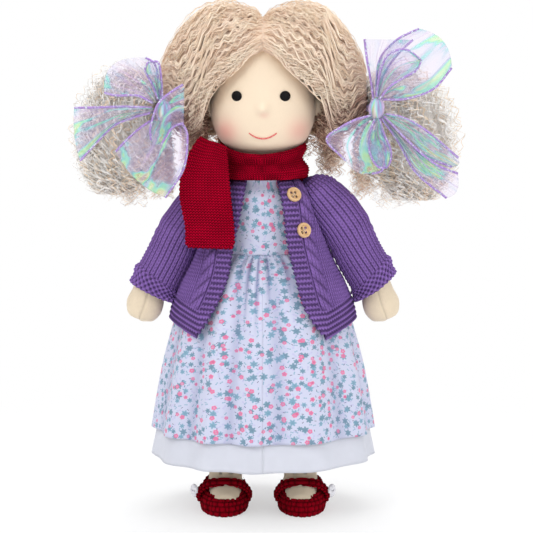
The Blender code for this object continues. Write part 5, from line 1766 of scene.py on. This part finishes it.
class DOLL_OT_cardigan(bpy.types.Operator):
    """Knitted cardigan: two fronts, the back and two sleeves"""

    bl_idname = "doll.cardigan"
    bl_label = "Cardigan"

    def execute(self, context):
        body, arm = finish_of(context, "cardigan"), finish_of(context, "sleeve")
        for side, word in SIDES:
            place, width, fall, hem = front_surface(side)

            def chart(across, along):
                return width(across, along), fall(across, along)

            def relief(across, along):
                return cardigan_relief(width(across, along), fall(across, along), hem(across, along))

            front = surface(f"front_{word}", 150, 150, place, body, middle=(0, 0), relief=relief, chart=chart, marks={"hem": hem}, merge=False)
            thicken(front, 2.8 * MM)
            settle(front)
            cut(front, arm_room(side))
            carried(front, "torso", f"cardigan_front_{word}", slot="purple_wool")

            def sleeve_chart(across, along):
                return across * 99 * MM, measure(along)

            def cuff(across, along):
                return reach - measure(along)

            place_arm, measure, reach = limb(side, SLEEVE_SHARES, ARM_RADIUS + 3.5 * MM)

            def sleeve_place(across, along):
                point = place_arm(across, along)
                low = step_up(measure(along), 45 * MM, reach)
                outer = np.sin(TURN * across)
                full = 1.3 * MM * bell(measure(along), 72 * MM, 24 * MM)
                puff = (6.5 if side == 1 else 2.5) * MM * bell(measure(along), 40 * MM, 30 * MM) * np.clip(outer, 0, 1)
                point[:, 0] += side * (full * outer - 3.2 * MM * low - full * 0.7 + puff * 0.8)
                point[:, 1] += full * np.cos(TURN * across)
                point[:, 2] += (6.5 if side == 1 else 3.5) * MM * low * outer + puff * 0.6
                point[:, 2] -= (0 if side == 1 else 4) * MM * low
                point[:, 0] += (3.5 if side == 1 else 1.5) * MM * low * np.clip(side - outer, 0, 1)
                point[:, 0] = side * np.maximum(side * point[:, 0], 32 * MM)
                return point

            def sleeve_relief(across, along):
                end = cuff(across, along)
                stitch = 0.65 + 0.35 * np.cos(measure(along) / (2.9 * MM) * TURN + 1.5 * np.abs(np.cos(across * 28 * math.pi)))
                plain = 1.25 * MM * np.abs(np.sin(across * 28 * math.pi)) ** 0.6 * stitch - 0.55 * MM
                bumps = 1.0 * MM * np.cos(across * 24 * TURN) * np.cos(end / (4.2 * MM) * TURN)
                roll = 1.8 * MM * bell(end, 2.2 * MM, 2.2 * MM) + 1.6 * MM * bell(end, 10.2 * MM, 2.4 * MM)
                low = 1 - step_up(end, 12.2 * MM, 13.4 * MM)
                return plain * (1 - low) + (bumps + roll) * low

            sleeve = surface(f"sleeve_knit_{word}", 176, 104, sleeve_place, arm, relief=sleeve_relief, chart=sleeve_chart, marks={"hem": cuff})
            thicken(sleeve, 2.4 * MM)
            carried(sleeve, f"arm_{word}", f"sleeve_{word}", slot="purple_wool")

        def back_place(across, along):
            turn = math.radians(90.2) + (math.radians(269.8) - math.radians(90.2)) * across
            z = CARDIGAN_TOP - along * 115 * MM
            for _ in range(3):
                wide, deep = cardigan_size(z)
                z = CARDIGAN_TOP - along * (CARDIGAN_TOP - hem_height(wide * np.sin(turn)))
            return np.stack([wide * np.sin(turn), -deep * np.cos(turn), z], axis=1)

        def back_hem(across, along):
            x, y, z = back_place(across, along).T
            return cardigan_fall(hem_height(x)) - cardigan_fall(z)

        def back_chart(across, along):
            return 400 * MM + (across - 0.5) * 190 * MM, cardigan_fall(back_place(across, along)[:, 2])

        def back_relief(across, along):
            hem = back_hem(across, along)
            low = 1 - step_up(hem, 4.9 * GARTER_ROW, 5.1 * GARTER_ROW)
            width = 400 * MM + (across - 0.5) * 190 * MM
            columns = 0.5 * MM * (np.abs(np.sin(math.pi * width / COLUMN)) ** 0.6 - 0.5)
            return columns * (1 - low) + hem_relief(hem, width) * low

        back = surface("cardigan_knit_back", 190, 80, back_place, body, middle=(0, 0), relief=back_relief, chart=back_chart, marks={"hem": back_hem}, merge=False)
        thicken(back, 2.8 * MM)
        settle(back)
        for side, _ in SIDES:
            cut(back, arm_room(side))
        carried(back, "torso", "cardigan_back", slot="purple_wool")
        return {"FINISHED"}


# Scarf


class DOLL_OT_scarf(bpy.types.Operator):
    """Knitted scarf: the wrap round the neck and its two ends"""

    bl_idname = "doll.scarf"
    bl_label = "Scarf"

    def execute(self, context):
        wool_red = finish_of(context, "scarf")
        section = smooth([*SCARF_SHARES, SCARF_SHARES[0]])
        steps = np.linalg.norm(np.diff(section, axis=0) * (38, 28), axis=1)
        reach = np.concatenate([[0], np.cumsum(steps)]) * MM

        def wrap_place(across, along):
            turn = TURN * across
            row = along * (len(section) - 1)
            out, up = (np.interp(row, np.arange(len(section)), column) for column in section.T)
            sway = 0.8 * MM * np.sin(turn * 2 + 0.6) * (up > 0.3)
            radius = out * 38 * MM + 0.5 * MM * ripple(turn * 2, 3.0) * 0.6
            tall = 28 * MM - 8.5 * MM * np.clip(np.cos(turn), 0, 1) ** 1.6
            return np.stack([radius * np.sin(turn), -radius * np.cos(turn), 265.4 * MM + up * tall + sway], axis=1)

        def wrap_chart(across, along):
            return across * 239 * MM, np.interp(along * (len(section) - 1), np.arange(len(section)), reach)

        def knit_relief(across, along):
            u, v = wrap_chart(across, along)
            return 0.4 * MM * np.cos(v / (2.2 * MM) * TURN + 1.8 * np.sin(u / (5 * MM)))

        wrap = surface("scarf_round", 150, 200, wrap_place, wool_red, relief=knit_relief, chart=wrap_chart)
        carried(wrap, "torso", "scarf_wrap", slot="red_wool")
        fall = smooth(END_SHARES)

        def end_surface(facing, low, centre, bulk, slope, length):
            table = fall

            def place(across, along):
                turn = TURN * across
                down = low + (1 - low) * along
                lean = 4 * MM if facing < 0 else 0
                z = 295 * MM - down * 82 * MM - np.sin(turn) * lean * (1 - step_up(down, 0, 0.35))
                forward = look(table, down)[0]
                near = np.clip(np.minimum(along / 0.05, (1 - along) / 0.02), 0, 1)
                thick = 1.9 * MM * np.sqrt(np.clip(near, 0.001, 1))
                wide = np.sin(turn)
                flat = np.sign(wide) * np.abs(wide) ** 0.75
                edge = 1 + 0.35 * np.abs(flat) ** 8
                half, shift = slope(down)
                x = centre + shift + flat * half
                y = 38 * MM * bulk * (1 + forward) * np.cos((x - 0.0) / (38 * MM) * 0.5) + 1.8 * MM
                cosine = np.cos(turn)
                y = y + np.sign(cosine) * np.abs(cosine) ** 0.5 * thick * edge
                return np.stack([x, facing * y, z], axis=1)

            def chart(across, along):
                wide = np.sin(TURN * across)
                return np.sign(wide) * np.abs(wide) ** 0.75 * 19 * MM + 0.3, along * length

            def relief(across, along):
                u, v = chart(across, along)
                edge = step_up(np.abs(u - 0.3), 15.5 * MM, 17 * MM) + step_up(v, length - 6 * MM, length - 4 * MM)
                fine = 0.18 * MM * np.cos(v / (2.1 * MM) * TURN) * np.cos(u / (2.1 * MM) * TURN)
                return fine + 0.5 * MM * np.clip(edge, 0, 1) * (1 + 0.7 * np.cos((v + u) / (4 * MM) * TURN))

            return place, chart, relief

        # Down the end that hangs in front: half-width and sideways shift, in millimetres
        rows = ((0, 10, 2.5), (0.12, 14.25, -0.8), (0.3, 18.3, -4.0), (0.5, 19.7, -4.0), (0.65, 19.4, -2.4), (0.82, 18.8, -0.4), (1, 19, -0.3))
        front_end = smooth(rows)

        def front_slope(down):
            half, shift = look(front_end, down)
            return half * MM * (1 - 0.1 * step_up(down, 0.94, 1) ** 2), shift * MM

        def back_slope(down):
            return np.interp(down, (0.13, 0.4), (12 * MM, 19 * MM)), np.interp(down, (0.13, 0.5), (-6 * MM, -1.5 * MM))

        for name, facing, low, centre, bulk, slope, length in (
            ("front", -1, 0.0, -41 * MM, 1, front_slope, 86 * MM),
            ("back", 1, 0.13, 20.5 * MM, 1.03, back_slope, 74 * MM),
        ):
            place, chart, relief = end_surface(facing, low, centre, bulk, slope, length)
            made = surface(f"scarf_{name}", 120, 150, place, wool_red, relief=relief, chart=chart)
            carried(made, f"scarf_{name}_end", f"scarf_{name}_end", slot="red_wool")
        return {"FINISHED"}


# Shoes


def shoe_stitches(side):
    """Domes of crochet stitches in rows round a shoe and over its toe."""

    def rise(co, normals):
        x, y, z = co.T
        x, y = x - side * SHOE_SPREAD, y + 13.5 * MM
        round_share = np.hypot(x / (19.8 * MM), y / (30.5 * MM))
        row = (z + (1 - np.clip(round_share, 0, 1)) * 21 * MM) / (4.5 * MM)
        turn = np.arctan2(x / 19.8, y / 30.5)
        number = np.floor(row)
        stitch = turn / TURN * 30 + 0.5 * (number % 2) + 0.45 * ripple(turn * 5 + number * 3, 3.0)
        dome = np.abs(np.sin(math.pi * row)) ** 0.55 * np.abs(np.sin(math.pi * stitch)) ** 0.55
        slant = 0.5 + 0.5 * np.sin(TURN * (stitch * 2 + row * 1.0))
        dome = dome * (0.8 + 0.2 * slant)
        return (dome - 0.45) * 1.15 * MM, dome

    return rise


def strap_place(side):
    """A thick band over the instep, from one side of the shoe to the other, its front edge lower."""

    def place(across, along):
        turn, lean = TURN * across, math.radians(94) * (2 * along - 1)
        close = np.sqrt(np.clip(np.minimum(along, 1 - along) / 0.03, 0.001, 1))
        out = 1.8 * MM * close * np.sign(np.cos(turn)) * np.abs(np.cos(turn)) ** 0.7
        deep = 3.7 * MM * close * np.sign(np.sin(turn)) * np.abs(np.sin(turn)) ** 0.8
        bent = np.sign(lean) * np.abs(np.sin(lean)) ** 0.6
        wide = 21.6 * MM - 2.6 * MM * step_up(np.abs(lean), math.radians(66), math.radians(94))
        x = side * SHOE_SPREAD + (wide + out) * bent
        z = 9 * MM + (14.6 * MM + out) * np.cos(lean) + 0.5 * deep * np.cos(lean)
        return np.stack([x, -22.4 * MM + deep, z], axis=1)

    return place


def strap_dome(across, along):
    row = np.abs(np.sin(math.pi * across * 5)) ** 0.5
    return np.abs(np.sin(math.pi * (along * 17 + 0.5 * np.floor(across * 5)))) ** 0.55 * row


def toe_lowered(made):
    """Lets the toe cap down, so that the instep shows."""
    mesh = made.data
    co = np.zeros(len(mesh.vertices) * 3, np.float32)
    mesh.vertices.foreach_get("co", co)
    co = co.reshape(-1, 3)
    co[:, 2] -= 3.9 * MM * step_up(co[:, 2], 9 * MM, 21 * MM) * step_up(-co[:, 1], 11 * MM, 24 * MM)
    mesh.vertices.foreach_set("co", co.ravel())
    mesh.update()
    return made


class DOLL_OT_shoes(bpy.types.Operator):
    """Crocheted shoes and their straps"""

    bl_idname = "doll.shoes"
    bl_label = "Crocheted shoes"

    def execute(self, context):
        yarn = finish_of(context, "crochet")
        for side, word in SIDES:
            shoe = to_piece(f"crochet_shoe_{word}", frame_copy(f"shoe_{word}"), yarn)
            remeshed(shoe, 0.75 * MM, 10)
            toe_lowered(shoe)
            carried(pushed(shoe, shoe_stitches(side), "stitch"), f"leg_{word}", f"shoe_{word}", slot="red_wool")

            def relief(across, along):
                return (strap_dome(across, along) - 0.5) * 0.9 * MM

            strap = surface(f"crochet_strap_{word}", 60, 160, strap_place(side), yarn, relief=relief, marks={"stitch": strap_dome})
            carried(strap, f"leg_{word}", f"shoe_strap_{word}", slot="red_wool")
        return {"FINISHED"}


# Buttons


def flat_place(node, outward):
    """Middle, turned axes and half-sizes of a flat round node, its last axis out of the cloth."""
    bm = frame_copy(node)
    points = np.array([vert.co for vert in bm.verts])
    bm.free()
    middle = points.mean(axis=0)
    _, _, axes = np.linalg.svd(points - middle)
    normal = Vector(axes[2])
    if normal.dot(Vector(outward)) < 0:
        normal = -normal
    spread = (points - middle) @ np.array(normal)
    radius = max(np.linalg.norm(point - np.array(normal) * point.dot(normal)) for point in points - middle)
    return Vector(middle), normal, radius, spread.max() - spread.min()


def turned_button(name, profile, finish, matrix, holes=(), hole_radius=0.0):
    """A button turned from its profile, with holes through it."""
    bm = bmesh.new()
    verts = [bm.verts.new((out, 0, up)) for out, up in profile]
    edges = [bm.edges.new(pair) for pair in zip(verts, verts[1:])]
    settings = {"cent": (0, 0, 0), "axis": (0, 0, 1), "steps": 64, "angle": TURN, "use_merge": True}
    bmesh.ops.spin(bm, geom=[*verts, *edges], **settings)
    bmesh.ops.remove_doubles(bm, verts=bm.verts, dist=1e-6)
    bmesh.ops.recalc_face_normals(bm, faces=bm.faces)
    made = to_piece(name, bm, finish)
    if holes:
        tool = bmesh.new()
        for x, y in holes:
            put = Matrix.Translation((x, y, 0))
            bmesh.ops.create_cone(tool, cap_ends=True, segments=20, radius1=hole_radius, radius2=hole_radius, depth=12 * MM, matrix=put)
        cut(made, tool)
    made.data.transform(matrix)
    return made


class DOLL_OT_buttons(bpy.types.Operator):
    """Wooden four-hole buttons on the cardigan and white buttons on the shoes"""

    bl_idname = "doll.buttons"
    bl_label = "Buttons"

    def execute(self, context):
        wood, pearl, sewing = (finish_of(context, word) for word in ("wood", "pearl", "sewing"))
        for word in ("top", "bottom"):
            middle, normal, radius, thick = flat_place(f"cardigan_button_{word}", (0, -1, 0))
            turn = normal.to_track_quat("Z", "Y").to_matrix().to_4x4()
            matrix = Matrix.Translation(middle) @ turn
            low, high = -thick / 2, thick / 2
            shares = ((0, 0.4), (0.55, 0.4), (0.66, 0.5), (0.72, 1.15), (0.8, 1.3), (0.9, 1.25), (0.97, 0.95), (1, 0.5), (0.98, 0.15), (0.9, 0), (0, 0))
            profile = [(radius * out, low + (high - low) * up) for out, up in shares]
            spread = radius * 0.29
            holes = [(spread * x, spread * y) for x in (-1, 1) for y in (-1, 1)]
            button = turned_button(f"wood_button_{word}", profile, wood, matrix, holes, radius * 0.19)
            carried(button, "torso", f"cardigan_button_{word}", slot="button_wood")
            paths = []
            for x in (-1, 1):
                points = []
                for step in range(13):
                    share = step / 6 - 1
                    lift = low + (high - low) * (0.6 - 0.8 * abs(share) ** 6)
                    points.append(matrix @ Vector((spread * share * x, spread * share, lift)))
                paths.append((points, np.ones(13), 0))
            stitches = threads(f"button_thread_{word}", paths, 0.26 * MM, [sewing], 1)
            carried(stitches, "torso", slot="button_wood")
            # A black disc behind each wooden button: painted shade that darkens its holes.
            bm = bmesh.new()
            shadow = matrix @ Matrix.Translation((0, 0, low * 0.9))
            bmesh.ops.create_circle(bm, cap_ends=True, segments=24, radius=radius * 0.62, matrix=shadow)
            bm.faces.ensure_lookup_table()
            hole_shade_disc = to_piece(f"button_hole_shade_{word}", bm, finish_of(context, "eye"), shade=False)
            carried(hole_shade_disc, "torso", slot="button_wood")
        for side, word in SIDES:
            middle, normal, radius, thick = flat_place(f"shoe_button_{word}", (side, 0, 0))
            turn = Matrix.Rotation(-side * math.radians(32), 4, "Z") @ normal.to_track_quat("Z", "Y").to_matrix().to_4x4()
            matrix = Matrix.Translation(middle - normal * 0.6 * MM) @ turn
            low = -thick / 2
            shares = ((0, 1.1), (0.3, 1.12), (0.55, 1.25), (0.75, 1.3), (0.9, 1.1), (1, 0.6), (0.97, 0.2), (0.88, 0), (0, 0))
            profile = [(radius * out, low + thick * up) for out, up in shares]
            holes = [(-1.2 * MM, 0), (1.2 * MM, 0)]
            button = turned_button(f"pearl_button_{word}", profile, pearl, matrix, holes, 0.7 * MM)
            carried(button, f"leg_{word}", f"shoe_button_{word}", slot="white_button")
        return {"FINISHED"}


# Stage


class DOLL_OT_stage(bpy.types.Operator):
    """Pale floor, soft lamps, white surroundings and the camera"""

    bl_idname = "doll.stage"
    bl_label = "Stage"

    def execute(self, context):
        scene = context.scene
        bm = bmesh.new()
        bmesh.ops.create_grid(bm, x_segments=2, y_segments=2, size=4)
        floor = to_piece("floor", bm, finish_of(context, "floor"), shade=False)
        scene.view_settings.view_transform = "Standard"
        world = bpy.data.worlds.new("white_surroundings")
        scene.world = world
        world.use_nodes = True
        nodes, links = world.node_tree.nodes, world.node_tree.links
        around = nodes["Background"]
        around.inputs["Color"].default_value = (0.97, 0.98, 1, 1)
        around.inputs["Strength"].default_value = 0.8
        seen = nodes.new("ShaderNodeBackground")
        seen.inputs["Color"].default_value = (1, 1, 1, 1)
        path = nodes.new("ShaderNodeLightPath")
        first, second = nodes.new("ShaderNodeMath"), nodes.new("ShaderNodeMath")
        first.operation = second.operation = "MAXIMUM"
        links.new(path.outputs["Is Camera Ray"], first.inputs[0])
        links.new(path.outputs["Is Glossy Ray"], first.inputs[1])
        links.new(first.outputs[0], second.inputs[0])
        links.new(path.outputs["Is Transmission Ray"], second.inputs[1])
        blend = nodes.new("ShaderNodeMixShader")
        links.new(second.outputs[0], blend.inputs["Fac"])
        links.new(around.outputs[0], blend.inputs[1])
        links.new(seen.outputs[0], blend.inputs[2])
        links.new(blend.outputs[0], nodes["World Output"].inputs["Surface"])
        for name, place, size, power in (
            ("key_lamp", (-0.9, -1.3, 1.5), 0.9, 10.0),
            ("fill_lamp", (1.2, -1.1, 0.9), 1.0, 5.0),
            ("top_lamp", (0.1, 0.4, 1.7), 1.0, 9.0),
        ):
            light = bpy.data.lights.new(name, "AREA")
            light.energy, light.size = power, size
            lamp = bpy.data.objects.new(name, light)
            lamp.location = place
            aim = Vector((0, 0, 0.2)) - Vector(place)
            lamp.rotation_euler = aim.to_track_quat("-Z", "Y").to_euler()
            scene.collection.objects.link(lamp)
        view = bpy.data.cameras.new("camera")
        view.sensor_width = 36
        view.lens = 127.93
        view.clip_start = 0.05
        camera = bpy.data.objects.new("camera", view)
        camera.location = (0.0028, -1.5, 0.373)
        camera.rotation_euler = (math.radians(90 - 6.805), 0, 0)
        scene.collection.objects.link(camera)
        scene.camera = camera
        return {"FINISHED"}


# The add-on


def colour_of(name, words, red, green, blue):
    settings = {"name": name, "description": words, "subtype": "COLOR", "size": 3, "min": 0, "max": 1}
    return bpy.props.FloatVectorProperty(default=tint(red, green, blue), **settings)


class DollColours(bpy.types.PropertyGroup):
    """The colours that a maker would choose"""

    skin: colour_of("Skin", "Cotton of the face", 241, 220, 193)
    limbs: colour_of("Limbs", "Cotton of the hands, legs and feet", 232, 214, 186)
    blush: colour_of("Blush", "Rosy cheeks", 238, 150, 138)
    hair: colour_of("Hair", "Mohair", 252, 228, 206)
    # A paler copy of the mohair: painted highlight on the strands that stand highest, elsewhere picked at random.
    hair_pale: colour_of("Pale strands", "The paler strands of the head", 254, 232, 210)
    hair_tips: colour_of("Hair tips", "The palest strands, in the bunches", 255, 250, 244)
    # A darker copy of the mohair: painted shade on the strands that lie low.
    hair_low_shade: colour_of("Deep strands", "The darkest strands", 240, 210, 186)
    hair_shadow: colour_of("Hair in shadow", "Mohair between the locks", 164, 130, 116)
    purple: colour_of("Cardigan", "Wool of the cardigan", 140, 106, 178)
    red: colour_of("Scarf", "Wool of the scarf", 186, 0, 42)
    crimson: colour_of("Shoes", "Wool of the shoes", 132, 0, 20)
    cotton: colour_of("Dress", "Ground of the printed cotton", 209, 212, 234)
    leaf: colour_of("Leaves", "Printed leaves", 128, 172, 196)
    flower: colour_of("Flowers", "Printed flowers", 232, 118, 160)
    tick: colour_of("Ticks", "Printed dark ticks", 60, 66, 110)
    speck: colour_of("Specks", "Printed lilac specks", 196, 196, 228)
    # Painted shade deep in the gathers and folds, also the dark line of the waist seam.
    fold: colour_of("Folds", "The print deep in its gathers", 104, 110, 158)
    petticoat: colour_of("Petticoat", "Plain cotton", 222, 224, 234)
    organza: colour_of("Bows", "Organza between its sheens", 214, 180, 226)
    cord: colour_of("Bow edges", "Glitter cord along the bows", 158, 126, 190)
    wood: colour_of("Wooden buttons", "Turned wood", 232, 190, 138)
    floor: colour_of("Floor", "Paper under the doll", 255, 255, 255)


OPERATORS = (
    DOLL_OT_head,
    DOLL_OT_hair,
    DOLL_OT_bunches,
    DOLL_OT_bows,
    DOLL_OT_limbs,
    DOLL_OT_dress,
    DOLL_OT_cardigan,
    DOLL_OT_scarf,
    DOLL_OT_shoes,
    DOLL_OT_buttons,
    DOLL_OT_stage,
)


class DOLL_PT_panel(bpy.types.Panel):
    """Lists the doll's pieces and colours"""

    bl_idname = "DOLL_PT_panel"
    bl_label = "Waldorf doll"
    bl_space_type = "VIEW_3D"
    bl_region_type = "UI"
    bl_category = "Doll"

    def draw(self, context):
        for made in OPERATORS:
            self.layout.operator(made.bl_idname)
        for word in DollColours.__annotations__:
            self.layout.prop(context.scene.doll_colours, word)


CLASSES = (DollColours, *OPERATORS, DOLL_PT_panel)


def register():
    for made in CLASSES:
        bpy.utils.register_class(made)
    bpy.types.Scene.doll_colours = bpy.props.PointerProperty(type=DollColours)


def unregister():
    del bpy.types.Scene.doll_colours
    for made in reversed(CLASSES):
        bpy.utils.unregister_class(made)


def main():
    register()
    for made in OPERATORS:
        family, word = made.bl_idname.split(".")
        getattr(getattr(bpy.ops, family), word)()


if __name__ == "__main__":
    main()
